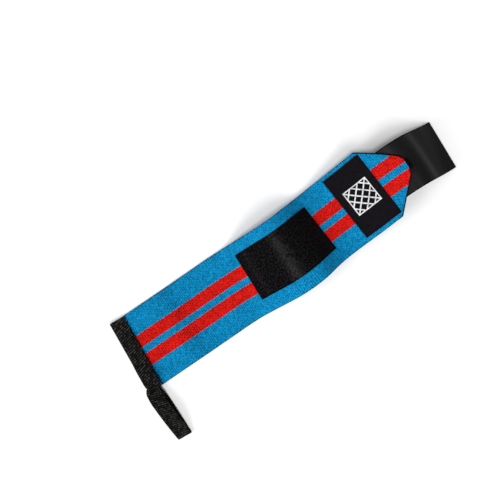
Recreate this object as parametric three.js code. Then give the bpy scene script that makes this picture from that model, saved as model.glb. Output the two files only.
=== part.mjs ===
import * as THREE from 'three'

// A lifting wrist wrap that lies on its back, in millimetres.
// X runs along the strap from the bound end to the hook tab, Y across it, and Z is up.

// Sizes of the cloths
const bandWidth = 76.2
const bandThickness = 1.9
const bandLength = 337.2
const taperLength = 34
const bindingDepth = 15.7
const bindingLength = 75.2
const bindingThickness = 0.9
const bindingSkew = 3.9
const bindingFold = 2.1
const bindingSwellRun = 12
const loopWidth = 14.6
const loopReach = 54.8
const loopThickness = 1.0
const loopBow = 7.3
const loopInset = 0.6
const tailLength = 19.7
const patchLength = 94
const patchWidth = 50
const patchThickness = 1.4
const patchShift = 1.5
const labelLength = 41
const labelWidth = 68
const labelThickness = 0.7
const labelShift = 0.3
const labelToTip = 30
const patchToLabel = 30.4
const tabLength = 101.6
const tabWidth = 50.8
const tabThickness = 1.1
const tabOverlap = 46

const bandRise = 25
const bandDrift = 9.5

// Clear space between two cloths that are sewn together, and between the two tails of the thumb loop
const layerGap = 0.3
const tailGap = 0.4

// Small bevel along each edge: its height as a share of the cloth's thickness, and its depth
const bevelShare = 0.3
const bevelDepth = 0.6

// Where the pieces start along the strap
const bindingStart = 0.5
const labelStart = bandLength - labelToTip - labelLength
const patchStart = labelStart - patchToLabel - patchLength
const tabStart = bandLength - tabOverlap

// The strap lies in waves, so it covers less floor than its own length
const strapLength = tabStart + tabLength
const floorShare = 0.937
const layLength = strapLength * floorShare

// Corners of the course are rounded off over this length to both sides
const easeReach = 10
const easeSteps = 10

// The slant of the bound end fades out over this length
const slantRun = 60

// Length of cloth between two rows of points, and the points across a wide cloth between its bevels
const rowStep = 4
const pointsAcross = 7

// The band rises onto the lower leaf of the binding
const seatRise = (bindingThickness + layerGap) / bandRise

// Centre line of the strap's underside: run is a share of layLength, rise of bandRise and drift of bandDrift
const course = [
  { run: 0.000, rise: seatRise, drift: -0.13 },
  { run: 0.040, rise: seatRise, drift: -0.12 },
  { run: 0.085, rise: 0.00, drift: -0.10 },
  { run: 0.200, rise: 0.00, drift: -0.05 },
  { run: 0.310, rise: 0.00, drift: 0.04 },
  { run: 0.352, rise: 0.01, drift: 0.03 },
  { run: 0.385, rise: 0.16, drift: -0.02 },
  { run: 0.440, rise: 0.76, drift: -0.05 },
  { run: 0.475, rise: 1.00, drift: -0.09 },
  { run: 0.515, rise: 1.05, drift: -0.05 },
  { run: 0.548, rise: 0.93, drift: 0.06 },
  { run: 0.590, rise: 0.29, drift: 0.16 },
  { run: 0.615, rise: 0.15, drift: 0.24 },
  { run: 0.650, rise: 0.20, drift: 0.36 },
  { run: 0.690, rise: 0.40, drift: 0.50 },
  { run: 0.735, rise: 0.62, drift: 0.65 },
  { run: 0.775, rise: 0.74, drift: 0.82 },
  { run: 0.820, rise: 0.98, drift: 0.95 },
  { run: 0.865, rise: 1.16, drift: 1.00 },
  { run: 0.900, rise: 1.08, drift: 0.92 },
  { run: 0.930, rise: 0.78, drift: 0.76 },
  { run: 0.970, rise: 0.31, drift: 0.56 },
  { run: 1.000, rise: 0.03, drift: 0.49 },
  { run: 1.040, rise: -0.33, drift: 0.45 },
]

// Half the band's width over the taper: along is a share of taperLength, half of the band's half width
const taper = [
  { along: 0.00, half: 1.000 },
  { along: 0.06, half: 0.985 },
  { along: 0.12, half: 0.940 },
  { along: 0.24, half: 0.848 },
  { along: 0.36, half: 0.752 },
  { along: 0.48, half: 0.655 },
  { along: 0.60, half: 0.556 },
  { along: 0.73, half: 0.448 },
  { along: 0.85, half: 0.345 },
  { along: 0.93, half: 0.265 },
  { along: 0.98, half: 0.170 },
  { along: 1.00, half: 0.080 },
]

// Path of the thumb loop's tape from its lower tail round the fold to its upper tail. Out is a share of
// loopReach beyond the binding, and of tailLength inside it. Lift is a share of the lower tail's height, over
// counts the tail that the upper one lies on, bow is a share of loopBow, side and wide of loopWidth.
const loopPath = [
  { out: -1.00, lift: 1.0, over: 0, bow: 0.00, side: 0.13, wide: 0.82 },
  { out: -0.33, lift: 1.0, over: 0, bow: 0.00, side: 0.06, wide: 0.82 },
  { out: 0.05, lift: 1.0, over: 0, bow: 0.00, side: 0.02, wide: 0.86 },
  { out: 0.15, lift: 0.7, over: 0, bow: 0.00, side: 0.00, wide: 0.96 },
  { out: 0.26, lift: 0.15, over: 0, bow: 0.00, side: -0.01, wide: 1.00 },
  { out: 0.38, lift: 0.0, over: 0, bow: 0.00, side: -0.01, wide: 1.00 },
  { out: 0.66, lift: 0.0, over: 0, bow: 0.00, side: -0.03, wide: 1.00 },
  { out: 0.92, lift: 0.0, over: 0, bow: 0.00, side: -0.05, wide: 1.00 },
  { out: 0.98, lift: 0.0, over: 0, bow: 0.03, side: -0.055, wide: 1.00 },
  { out: 0.993, lift: 0.0, over: 0, bow: 0.135, side: -0.055, wide: 1.00 },
  { out: 0.975, lift: 0.0, over: 0, bow: 0.25, side: -0.055, wide: 1.00 },
  { out: 0.90, lift: 0.0, over: 0, bow: 0.39, side: -0.07, wide: 1.00 },
  { out: 0.76, lift: 0.0, over: 0, bow: 0.70, side: -0.08, wide: 1.00 },
  { out: 0.58, lift: 0.0, over: 0, bow: 0.95, side: -0.10, wide: 1.00 },
  { out: 0.38, lift: 0.0, over: 0, bow: 1.00, side: -0.135, wide: 1.00 },
  { out: 0.18, lift: 0.0, over: 0, bow: 0.85, side: -0.18, wide: 1.00 },
  { out: 0.09, lift: 0.0, over: 0, bow: 0.73, side: -0.17, wide: 0.98 },
  { out: 0.01, lift: 1.0, over: 1, bow: 0.00, side: 0.03, wide: 0.81 },
  { out: -0.33, lift: 1.0, over: 1, bow: 0.00, side: 0.06, wide: 0.82 },
  { out: -1.00, lift: 1.0, over: 1, bow: 0.00, side: 0.13, wide: 0.82 },
]

// Reads one column of a table at a place between its rows, in straight lines
function read(table, key, column, at) {
  let row = 0
  while (row < table.length - 2 && table[row + 1][key] < at) {
    row += 1
  }
  const low = table[row]
  const high = table[row + 1]
  const share = Math.min(Math.max((at - low[key]) / (high[key] - low[key]), 0), 1)
  return low[column] + (high[column] - low[column]) * share
}

// Reads a column of the course with its corners rounded off
function eased(column, x) {
  let sum = 0
  let weights = 0
  for (let step = -easeSteps; step <= easeSteps; step++) {
    const weight = easeSteps + 0.5 - Math.abs(step)
    sum += weight * read(course, 'run', column, (x + (step * easeReach) / easeSteps) / layLength)
    weights += weight
  }
  return sum / weights
}

// Centre line of the strap's underside at a distance x along the floor
function onCourse(x) {
  return new THREE.Vector3(x, bandDrift * eased('drift', x), bandRise * Math.max(eased('rise', x), 0))
}

// Lengths along the cloth at every millimetre of floor
const walked = [0]
for (let x = 1; x <= layLength + 6; x++) {
  walked.push(walked[x - 1] + onCourse(x).distanceTo(onCourse(x - 1)))
}

// Distance along the floor that belongs to a length along the cloth
function floorAt(length) {
  let x = 0
  while (x < walked.length - 2 && walked[x + 1] < length) {
    x += 1
  }
  return x + (length - walked[x]) / (walked[x + 1] - walked[x])
}

// Point of a cloth on the strap: length along it, across from its middle, and height above its underside
function lay(length, across, above) {
  const x = floorAt(length)
  const heading = onCourse(x + 1).sub(onCourse(x - 1)).normalize()
  const side = new THREE.Vector3(-heading.y, heading.x, 0).normalize()
  const up = new THREE.Vector3().crossVectors(heading, side)
  return onCourse(x).addScaledVector(side, across).addScaledVector(up, above)
}

// Closed solid from rings of points, where point i of a ring faces point (count - 1 - i) of the same ring
function skin(rings) {
  const count = rings[0].length
  const faces = []
  for (let row = 0; row + 1 < rings.length; row++) {
    for (let i = 0; i < count; i++) {
      const a = row * count + i
      const b = row * count + ((i + 1) % count)
      faces.push([a, b, b + count], [a, b + count, a + count])
    }
  }
  const last = (rings.length - 1) * count
  for (let i = 0; i + 1 < count / 2; i++) {
    const far = count - 1 - i
    faces.push([far, far - 1, i + 1], [far, i + 1, i])
    faces.push([last + i, last + i + 1, last + far - 1], [last + i, last + far - 1, last + far])
  }
  const points = rings.flat()
  let volume = 0
  for (const [a, b, c] of faces) {
    volume += points[a].dot(new THREE.Vector3().crossVectors(points[b], points[c]))
  }
  const order = volume > 0 ? faces : faces.map(([a, b, c]) => [a, c, b])
  const places = points.flatMap((point) => point.toArray())
  const geometry = new THREE.BufferGeometry()
  geometry.setAttribute('position', new THREE.Float32BufferAttribute(places, 3))
  geometry.setIndex(order.flat())
  return geometry
}

// Ring of a flat cloth: its upper side from edge to edge and its underside back, both bevelled at the edges
function clothRing(place, shares, half, thickness, squeeze) {
  const upper = []
  const lower = []
  shares.forEach((share, i) => {
    const rim = i === 0 || i === shares.length - 1 ? 1 : squeeze
    const inset = thickness * bevelShare * rim
    upper.push(place(share * half, thickness - inset))
    lower.unshift(place(share * half, inset))
  })
  return [...upper, ...lower]
}

// Places of the rows of a cloth: close to both ends, and even steps between them
function rowsOver(length, step) {
  const rows = [0, bevelDepth]
  const count = Math.ceil((length - 2 * bevelDepth) / step)
  for (let i = 1; i < count; i++) {
    rows.push(bevelDepth + ((length - 2 * bevelDepth) * i) / count)
  }
  return [...rows, length - bevelDepth, length]
}

// Shares across a cloth, with the bevel's width next to each edge
function sharesOver(width, count) {
  const rim = 1 - (2 * bevelDepth) / width
  const inner = Array.from({ length: count }, (_, i) => -rim + (2 * rim * i) / (count - 1))
  return [-1, ...inner, 1]
}

// Right-angled cloth that follows the strap
function clothOn({ start, length, width, thickness, shift, base }) {
  const shares = sharesOver(width, pointsAcross)
  const rings = rowsOver(length, rowStep).map((along) => {
    const squeeze = along === 0 || along === length ? 1 : 0
    const place = (across, above) => lay(start + along, shift + across, base + above)
    return clothRing(place, shares, width / 2, thickness, squeeze)
  })
  return skin(rings)
}

// Frame of the bound end: out along the binding towards the thumb loop, in towards the band, and up
const slantAngle = THREE.MathUtils.degToRad(bindingSkew)
const bindingMiddle = new THREE.Vector3(bindingStart, 0, 0)
const towardsLoop = new THREE.Vector3(-Math.sin(slantAngle), -Math.cos(slantAngle), 0)
const towardsBand = new THREE.Vector3(Math.cos(slantAngle), -Math.sin(slantAngle), 0)

function atBinding(out, inward, up) {
  return bindingMiddle.clone().addScaledVector(towardsLoop, out).addScaledVector(towardsBand, inward).setZ(up)
}

// Band, slanted at its bound end and tapered at its tip
function elasticBand() {
  const start = bindingStart + bindingThickness + layerGap + bevelDepth
  const taperStart = bandLength - start - taperLength
  const body = rowsOver(taperStart, rowStep).slice(0, -2)
  const rows = [...body, ...taper.map((row) => taperStart + row.along * taperLength)]
  const shares = sharesOver(bandWidth, pointsAcross)
  const rings = rows.map((along, row) => {
    const half = (bandWidth / 2) * read(taper, 'along', 'half', (along - taperStart) / taperLength)
    const turn = Math.tan(slantAngle) * Math.max(1 - along / slantRun, 0)
    const squeeze = row === 0 || row === rows.length - 1 ? 1 : 0
    const place = (across, above) => lay(start + along + across * turn, across, above)
    return clothRing(place, shares, half, bandThickness, squeeze)
  })
  return skin(rings)
}

// Underside of the thumb loop's lower tail, which lies on the band in the binding
const tailBase = bindingThickness + 2 * layerGap + bandThickness
const upperTailStep = loopThickness + tailGap

// Height of the binding, which swells over the tails of the thumb loop
function bindingHeight(out) {
  const swellEnd = bindingLength / 2 - tailLength - 1
  const share = THREE.MathUtils.smoothstep(out, swellEnd - bindingSwellRun, swellEnd)
  return tailBase + bindingThickness + (loopThickness + upperTailStep + layerGap) * share
}

// Tape folded over the end of the band: its outer face runs from the lower leaf's edge round the fold to the
// upper leaf's edge, and its inner face back
function endBinding() {
  const foldSteps = 8
  const edgeCut = bindingThickness * bevelShare
  const leaf = [
    { centre: bindingDepth, cut: edgeCut },
    { centre: bindingDepth - bevelDepth, cut: 0 },
    { centre: bindingDepth * 0.7, cut: 0 },
    { centre: bindingDepth * 0.4, cut: 0 },
  ]
  const fold = Array.from({ length: foldSteps + 1 }, (_, i) => {
    return { centre: bindingFold, cut: 0, angle: (Math.PI * i) / foldSteps }
  })
  const lower = leaf.map((row) => ({ ...row, angle: 0 }))
  const upper = leaf.map((row) => ({ ...row, angle: Math.PI })).reverse()
  const rings = rowsOver(bindingLength, rowStep).map((along) => {
    const out = along - bindingLength / 2
    const endCut = along === 0 || along === bindingLength ? edgeCut : 0
    const half = bindingHeight(out) / 2
    const place = ({ centre, angle }, depth) => {
      const inward = centre - (bindingFold - depth) * Math.sin(angle)
      return atBinding(out, inward, half - (half - depth) * Math.cos(angle))
    }
    const profile = [...lower, ...fold, ...upper]
    const outer = profile.map((row) => place(row, Math.max(row.cut, endCut)))
    const inner = profile.map((row) => place(row, bindingThickness - Math.max(row.cut, endCut)))
    return [...outer, ...inner.reverse()]
  })
  return skin(rings)
}

// Tape of the thumb loop, its two leaves bowed apart and its tails in the binding
function thumbLoop() {
  const root = bindingLength / 2
  const middle = bindingDepth / 2 - loopInset
  const samples = 3
  const points = loopPath.map((row) => {
    const out = row.out * (row.out < 0 ? tailLength : loopReach)
    // Out of the binding, the loop turns straight across the strap
    const straight = Math.sin(slantAngle) * Math.max(out, 0)
    const up = loopThickness / 2 + row.lift * tailBase + row.over * upperTailStep + row.bow * loopBow
    return atBinding(root + out, middle + row.side * loopWidth + straight, up)
  })
  const curve = new THREE.CatmullRomCurve3(points, false, 'centripetal')
  const shares = sharesOver(loopWidth, 3)
  const steps = (loopPath.length - 1) * samples
  const widths = loopPath.map((row, i) => ({ place: i * samples, wide: row.wide }))
  const rings = []
  for (let step = 0; step <= steps; step++) {
    const centre = curve.getPoint(step / steps)
    centre.z = Math.max(centre.z, loopThickness / 2)
    const heading = curve.getTangent(step / steps)
    const up = new THREE.Vector3(0, heading.z, -heading.y).normalize()
    const half = (loopWidth / 2) * read(widths, 'place', 'wide', step)
    const squeeze = step === 0 || step === steps ? 1 : 0
    const place = (across, above) => {
      const height = above - loopThickness / 2
      return centre.clone().addScaledVector(towardsBand, across).addScaledVector(up, height)
    }
    rings.push(clothRing(place, shares, half, loopThickness, squeeze))
  }
  return skin(rings)
}

// Fastening patch on the arch of the band
function loopPatch() {
  return clothOn({
    start: patchStart,
    length: patchLength,
    width: patchWidth,
    thickness: patchThickness,
    shift: patchShift,
    base: bandThickness + layerGap,
  })
}

// Woven label across the band, up to the corners of the taper
function wovenLabel() {
  return clothOn({
    start: labelStart,
    length: labelLength,
    width: labelWidth,
    thickness: labelThickness,
    shift: labelShift,
    base: bandThickness + layerGap,
  })
}

// Hook tape, sewn under the tip and bending down to the floor beyond it
function hookTab() {
  return clothOn({
    start: tabStart,
    length: tabLength,
    width: tabWidth,
    thickness: tabThickness,
    shift: 0,
    base: -layerGap - tabThickness,
  })
}

const pieces = [
  { name: 'elastic_band', colour: 0x1373a1, roughness: 0.85, geometry: elasticBand() },
  { name: 'end_binding', colour: 0x1d1c1b, roughness: 0.85, geometry: endBinding() },
  { name: 'thumb_loop', colour: 0x1e1e1e, roughness: 0.85, geometry: thumbLoop() },
  { name: 'loop_patch', colour: 0x121213, roughness: 0.95, geometry: loopPatch() },
  { name: 'label', colour: 0x1b181e, roughness: 0.7, geometry: wovenLabel() },
  { name: 'hook_tab', colour: 0x282728, roughness: 0.45, geometry: hookTab() },
]

// The origin lies on the floor, under the middle of the whole
const bounds = new THREE.Box3()
for (const piece of pieces) {
  piece.geometry.computeBoundingBox()
  bounds.union(piece.geometry.boundingBox)
}
const middle = bounds.getCenter(new THREE.Vector3())

const group = new THREE.Group()
for (const { name, colour, roughness, geometry } of pieces) {
  geometry.translate(-middle.x, -middle.y, -bounds.min.z)
  geometry.computeVertexNormals()
  const material = new THREE.MeshStandardMaterial({ color: colour, roughness, metalness: 0 })
  const mesh = new THREE.Mesh(geometry, material)
  mesh.name = name
  group.add(mesh)
}

export default group
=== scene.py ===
"""A lifting wrist wrap that lies in soft waves on a plain pale floor.

The strap runs along X from its bound end to its hook tab. Y points across it, away from the
thumb loop, and Z is up. Sizes are in millimetres, and a mesh is given in metres.
"""

from __future__ import annotations

import logging
import math
from dataclasses import dataclass
from enum import Enum
from typing import Callable, Sequence

import bpy
import numpy as np
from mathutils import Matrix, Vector

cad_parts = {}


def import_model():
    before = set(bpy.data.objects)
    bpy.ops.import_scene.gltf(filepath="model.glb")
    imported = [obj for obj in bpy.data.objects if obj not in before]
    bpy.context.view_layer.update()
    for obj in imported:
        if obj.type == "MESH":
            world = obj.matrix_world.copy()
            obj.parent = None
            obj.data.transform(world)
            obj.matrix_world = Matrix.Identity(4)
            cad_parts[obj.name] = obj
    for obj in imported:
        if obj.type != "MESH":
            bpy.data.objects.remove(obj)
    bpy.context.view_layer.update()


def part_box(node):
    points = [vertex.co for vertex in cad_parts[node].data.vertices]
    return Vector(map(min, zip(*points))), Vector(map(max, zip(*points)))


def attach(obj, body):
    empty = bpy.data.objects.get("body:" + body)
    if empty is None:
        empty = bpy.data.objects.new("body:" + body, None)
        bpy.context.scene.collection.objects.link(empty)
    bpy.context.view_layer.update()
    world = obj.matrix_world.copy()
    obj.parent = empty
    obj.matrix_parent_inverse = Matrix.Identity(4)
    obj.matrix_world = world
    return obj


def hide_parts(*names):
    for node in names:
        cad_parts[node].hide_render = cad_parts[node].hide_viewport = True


MM = 0.001
LOG = logging.getLogger("wrist_wrap")

Socket = bpy.types.NodeSocket
Colour = tuple[float, float, float]
Relief = Callable[[np.ndarray, np.ndarray], np.ndarray]
Triples = tuple[tuple[float, float, float], ...]
Seam = tuple[tuple[float, float], tuple[float, float]]
Shape = tuple[np.ndarray, np.ndarray]
Stitches = tuple[np.ndarray, np.ndarray]


class Slot(Enum):
    """Material slots of the record."""

    BAND = "band_elastic"
    BINDING = "binding_tape"
    LOOP = "loop_tape"
    PATCH = "pile_patch"
    LABEL = "label_weave"
    TAB = "hook_tape"


class Held(Enum):
    """Ways in which a cloth of the wrap is held."""

    LAID = "laid"
    FOLDED = "folded"


@dataclass(frozen=True)
class Sizes:
    """Sizes that several pieces share, in millimetres and degrees.

    The band's rise and drift are the most that its course rises off the floor and strays sideways,
    and floor_share is the length of floor under the strap as a share of its own length. The
    binding starts at its outer edge, binding_fold is the radius of its fold, and it swells over
    the loop's tails. The slant of the bound end dies out over slant_run.
    """

    band_width: float = 76.2
    band_thickness: float = 1.9
    band_length: float = 337.2
    band_rise: float = 25.0
    band_drift: float = 9.5
    taper_length: float = 34.0
    binding_depth: float = 15.7
    binding_length: float = 75.2
    binding_thickness: float = 0.9
    binding_skew: float = 3.9
    binding_start: float = 0.5
    binding_fold: float = 2.1
    binding_swell_run: float = 12.0
    binding_swell_lead: float = 1.0
    loop_width: float = 14.6
    loop_reach: float = 54.8
    loop_thickness: float = 1.0
    loop_bow: float = 7.3
    loop_inset: float = 0.6
    tail_length: float = 19.7
    tail_gap: float = 0.4
    patch_length: float = 94.0
    patch_width: float = 50.0
    patch_shift: float = 1.5
    patch_to_label: float = 30.4
    label_length: float = 41.0
    label_width: float = 68.0
    label_shift: float = 0.3
    label_to_tip: float = 30.0
    tab_length: float = 101.6
    tab_width: float = 50.8
    tab_overlap: float = 46.0
    layer_gap: float = 0.3
    floor_share: float = 0.937
    slant_run: float = 60.0

    @property
    def label_start(self) -> float:
        """Length along the strap at which the label starts."""
        return self.band_length - self.label_to_tip - self.label_length

    @property
    def patch_start(self) -> float:
        """Length along the strap at which the patch starts."""
        return self.label_start - self.patch_to_label - self.patch_length

    @property
    def tab_start(self) -> float:
        """Length along the strap at which the hook tab starts."""
        return self.band_length - self.tab_overlap

    @property
    def lay_length(self) -> float:
        """Length of floor under the whole strap."""
        return (self.tab_start + self.tab_length) * self.floor_share

    @property
    def skew(self) -> float:
        """Slant of the bound end, in radians."""
        return math.radians(self.binding_skew)


SIZES = Sizes()


class Course:
    """Centre line of the strap's underside, and the place of any cloth that lies along it."""

    SEAT = (SIZES.binding_thickness + SIZES.layer_gap) / SIZES.band_rise
    # Run is a share of the lay length, rise of the band's rise and drift of its drift
    ROWS = (
        (0.000, SEAT, -0.13),
        (0.040, SEAT, -0.12),
        (0.085, 0.00, -0.10),
        (0.200, 0.00, -0.05),
        (0.310, 0.00, 0.04),
        (0.352, 0.01, 0.03),
        (0.385, 0.16, -0.02),
        (0.440, 0.76, -0.05),
        (0.475, 1.00, -0.09),
        (0.515, 1.05, -0.05),
        (0.548, 0.93, 0.06),
        (0.590, 0.29, 0.16),
        (0.615, 0.15, 0.24),
        (0.650, 0.20, 0.36),
        (0.690, 0.40, 0.50),
        (0.735, 0.62, 0.65),
        (0.775, 0.74, 0.82),
        (0.820, 0.98, 0.95),
        (0.865, 1.16, 1.00),
        (0.900, 1.08, 0.92),
        (0.930, 0.78, 0.76),
        (0.970, 0.31, 0.56),
        (1.000, 0.03, 0.49),
        (1.040, -0.33, 0.45),
    )
    # Each corner of the rows is rounded off over this length before and after it, in so many steps
    EASE_REACH = 10.0
    EASE_STEPS = 10
    # The fine grid's step, and how far it reaches past the strap's two ends
    GRID = 0.25
    LEAD = 2.0
    TRAIL = 6.0

    def __init__(self, origin: Vector) -> None:
        """Works the centre line out on a fine grid of floor places.

        Args:
            origin: the course's zero point in the row frame, in millimetres.
        """
        self.origin = np.array(origin)
        floor = np.arange(-self.LEAD, SIZES.lay_length + self.TRAIL, self.GRID)
        rise = SIZES.band_rise * np.maximum(self._eased(floor, 1), 0.0)
        drift = SIZES.band_drift * self._eased(floor, 2)
        self.centre = np.stack([floor, drift, rise], axis=1)
        heading = unit(np.gradient(self.centre, axis=0))
        self.side = unit(np.stack([-heading[:, 1], heading[:, 0], np.zeros(len(floor))], axis=1))
        self.up = np.cross(heading, self.side)
        self.length = walked_along(self.centre)
        self.length -= np.interp(0.0, floor, self.length)

    def _eased(self, floor: np.ndarray, column: int) -> np.ndarray:
        """Reads a column of the rows with its corners rounded off.

        Args:
            floor: places along the floor.
            column: 1 for rise and 2 for drift.

        Returns:
            The column's share at each place.
        """
        rows = np.array(self.ROWS)
        steps = np.arange(-self.EASE_STEPS, self.EASE_STEPS + 1)
        weights = self.EASE_STEPS + 0.5 - np.abs(steps)
        total = np.zeros(len(floor))
        for step, weight in zip(steps, weights):
            run = (floor + step * self.EASE_REACH / self.EASE_STEPS) / SIZES.lay_length
            total += weight * np.interp(run, rows[:, 0], rows[:, column])
        return total / weights.sum()

    def place(self, along: np.ndarray, across: np.ndarray, above: np.ndarray) -> np.ndarray:
        """Places points of a cloth that lies on the course.

        Args:
            along: lengths along the cloth.
            across: distances from its middle, towards +Y.
            above: heights over the band's underside.

        Returns:
            The points in the row frame, in millimetres.
        """
        across = np.asarray(across, dtype=float)[..., None]
        above = np.asarray(above, dtype=float)[..., None]
        centre, side, up = (on_line(table, self.length, along) for table in (self.centre, self.side, self.up))
        return self.origin + centre + side * across + up * above

    def frame(self, along: np.ndarray, across: np.ndarray, above: np.ndarray) -> tuple[np.ndarray, ...]:
        """Places points of a cloth and finds its directions there.

        Args:
            along: lengths along the cloth.
            across: distances from its middle, towards +Y.
            above: heights over the band's underside.

        Returns:
            The points, and at each the steps of one millimetre along, across and up.
        """
        spots = self.place(along, across, above)
        ahead = self.place(along + 1, across, above) - spots
        side = self.place(along, across + 1, above) - spots
        up = self.place(along, across, above + 1) - spots
        return spots, ahead, side, up


class BoundEnd:
    """Frame of the slanted end: out along the binding to the thumb loop, in towards the band, and up."""

    def __init__(self, origin: Vector) -> None:
        """Keeps the middle of the binding's outer edge and its two directions."""
        self.middle = np.array(origin) + np.array([SIZES.binding_start, 0.0, 0.0])
        self.towards_loop = np.array([-math.sin(SIZES.skew), -math.cos(SIZES.skew), 0.0])
        self.towards_band = np.array([math.cos(SIZES.skew), -math.sin(SIZES.skew), 0.0])

    def place(self, out: np.ndarray, inward: np.ndarray, up: np.ndarray) -> np.ndarray:
        """Places points at the bound end, in millimetres."""
        out = np.asarray(out, dtype=float)[..., None]
        inward = np.asarray(inward, dtype=float)[..., None]
        height = np.asarray(up, dtype=float)[..., None] * np.array([0.0, 0.0, 1.0])
        return self.middle + out * self.towards_loop + inward * self.towards_band + height


def course_origin() -> Vector:
    """Finds the course's zero point in the row frame from the binding's solid.

    Returns:
        The zero point, in millimetres.
    """
    low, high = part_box("end_binding")
    half = SIZES.binding_length / 2
    east = SIZES.binding_start + math.sin(SIZES.skew) * half + math.cos(SIZES.skew) * SIZES.binding_depth
    south = -math.cos(SIZES.skew) * half - math.sin(SIZES.skew) * SIZES.binding_depth
    return Vector((high[0] / MM - east, low[1] / MM - south, 0.0))


def walked_along(line: np.ndarray) -> np.ndarray:
    """Measures how far along a line of points each of them lies."""
    return np.concatenate([[0.0], np.linalg.norm(np.diff(line, axis=0), axis=1).cumsum()])


def on_line(line: np.ndarray, walked: np.ndarray, places: np.ndarray) -> np.ndarray:
    """Reads the points of a line at lengths along it."""
    return np.stack([np.interp(places, walked, line[:, i]) for i in range(line.shape[1])], axis=-1)


def unit(vectors: np.ndarray) -> np.ndarray:
    """Gives each vector a length of one."""
    return vectors / np.linalg.norm(vectors, axis=1, keepdims=True)


def ripple(along: np.ndarray, across: np.ndarray, waves: Triples) -> np.ndarray:
    """Adds up slow waves that make a cloth a little uneven.

    Args:
        along: lengths along the cloth.
        across: distances across it.
        waves: for each wave its length along, its length across and its phase.

    Returns:
        The uneven height, between -1 and 1.
    """
    total = np.zeros(np.broadcast(along, across).shape)
    for wave_along, wave_across, phase in waves:
        total = total + np.sin(2 * math.pi * (along / wave_along + across / wave_across) + phase)
    return total / len(waves)


def fade(values: np.ndarray, start: float, end: float) -> np.ndarray:
    """Goes smoothly from 0 at start to 1 at end."""
    share = np.clip((values - start) / (end - start), 0.0, 1.0)
    return share * share * (3 - 2 * share)


def from_seam(along: np.ndarray, across: np.ndarray, seam: Seam) -> np.ndarray:
    """Measures how far points of a cloth lie from a straight seam.

    Args:
        along: lengths along the cloth.
        across: distances across it.
        seam: the seam's two ends.

    Returns:
        The distance of each point.
    """
    start, end = np.array(seam)
    way = end - start
    share = ((along - start[0]) * way[0] + (across - start[1]) * way[1]) / (way @ way)
    share = np.clip(share, 0.0, 1.0)
    return np.hypot(along - start[0] - share * way[0], across - start[1] - share * way[1])


def near_seam(along: np.ndarray, across: np.ndarray, seam: Seam, reach: float) -> np.ndarray:
    """Falls smoothly from 1 on a seam to 0 beyond its reach."""
    return np.exp(-((from_seam(along, across, seam) / reach) ** 2))


def panel_corners(length: float, width: float, inset: float) -> list[tuple[float, float]]:
    """Lists the corners of a line that runs round a panel, inset from its edges."""
    near, far, edge = inset, length - inset, width / 2 - inset
    return [(near, -edge), (far, -edge), (far, edge), (near, edge)]


def panel_outline(corners: Sequence[tuple[float, float]]) -> list[Seam]:
    """Joins four corners to the seams between them."""
    return [(corners[i], corners[(i + 1) % 4]) for i in range(4)]


@dataclass(frozen=True)
class Shell:
    """Skin of a cloth, made of rings of points across it, with rounded edges.

    Attributes:
        thickness: the cloth's thickness.
        columns: points across the upper side, between the rounded edges.
        step: length of cloth between two rings.
    """

    thickness: float
    columns: int
    step: float

    ROUND = np.radians([15.0, 45.0, 75.0])

    def rows(self, length: float) -> tuple[np.ndarray, np.ndarray]:
        """Sets the places of the rings and how far each is squeezed to a rounded end.

        Args:
            length: length of the cloth.

        Returns:
            The places along the cloth, and the share of the thickness at each.
        """
        radius = self.thickness / 2
        inset = radius * (1 - np.cos(self.ROUND))
        count = max(int((length - 2 * radius) / self.step), 2)
        inner = np.linspace(radius, length - radius, count + 1)
        along = np.concatenate([inset, inner, (length - inset)[::-1]])
        squeeze = np.concatenate([np.sin(self.ROUND), np.ones(len(inner)), np.sin(self.ROUND)[::-1]])
        return along, squeeze

    def ring(self, half: np.ndarray) -> tuple[np.ndarray, np.ndarray]:
        """Sets the points of each ring.

        Args:
            half: half the cloth's width at each ring.

        Returns:
            The distances across, and the heights from -1 at the underside to 1 on top.
        """
        radius = self.thickness / 2
        inset = radius * (1 - np.cos(self.ROUND))
        spread = np.linspace(-1.0, 1.0, self.columns)
        inner = spread[None, :] * (half[:, None] - radius)
        left = -half[:, None] + inset[None, :]
        upper = np.concatenate([left, inner, -left[:, ::-1]], axis=1)
        rise = np.concatenate([np.sin(self.ROUND), np.ones(self.columns), np.sin(self.ROUND)[::-1]])
        return np.concatenate([upper, upper[:, ::-1]], axis=1), np.concatenate([rise, -rise[::-1]])


def skin(name: str, points: np.ndarray, uv: np.ndarray) -> bpy.types.Object:
    """Makes a closed object from rings of points.

    Point i of a ring lies opposite the ring's point count - 1 - i, so the first and the last
    ring close in strips.

    Args:
        name: the object's name.
        points: rings by points by three, in millimetres in the row frame.
        uv: rings by points by two, lengths along and across the cloth in millimetres.

    Returns:
        The new object.
    """
    rings, count = points.shape[:2]
    here = np.arange(count)
    after = (here + 1) % count
    base = (np.arange(rings - 1) * count)[:, None]
    ahead = base + count
    sides = np.stack([base + here, base + after, ahead + after, ahead + here], axis=-1).reshape(-1, 4)
    near = np.arange(count // 2 - 1)
    far = count - 1 - near
    start = np.stack([far, far - 1, near + 1, near], axis=-1)
    last = (rings - 1) * count
    end = last + np.stack([near, near + 1, far - 1, far], axis=-1)
    faces = np.concatenate([sides, start, end])
    places = points.reshape(-1, 3) * MM
    corner = places[faces]
    volume = np.einsum("ij,ij->i", corner[:, 0], np.cross(corner[:, 1], corner[:, 2])).sum()
    if volume < 0:
        faces = faces[:, ::-1]
    return mesh_object(name, places, faces, uv.reshape(-1, 2) * MM)


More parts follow.
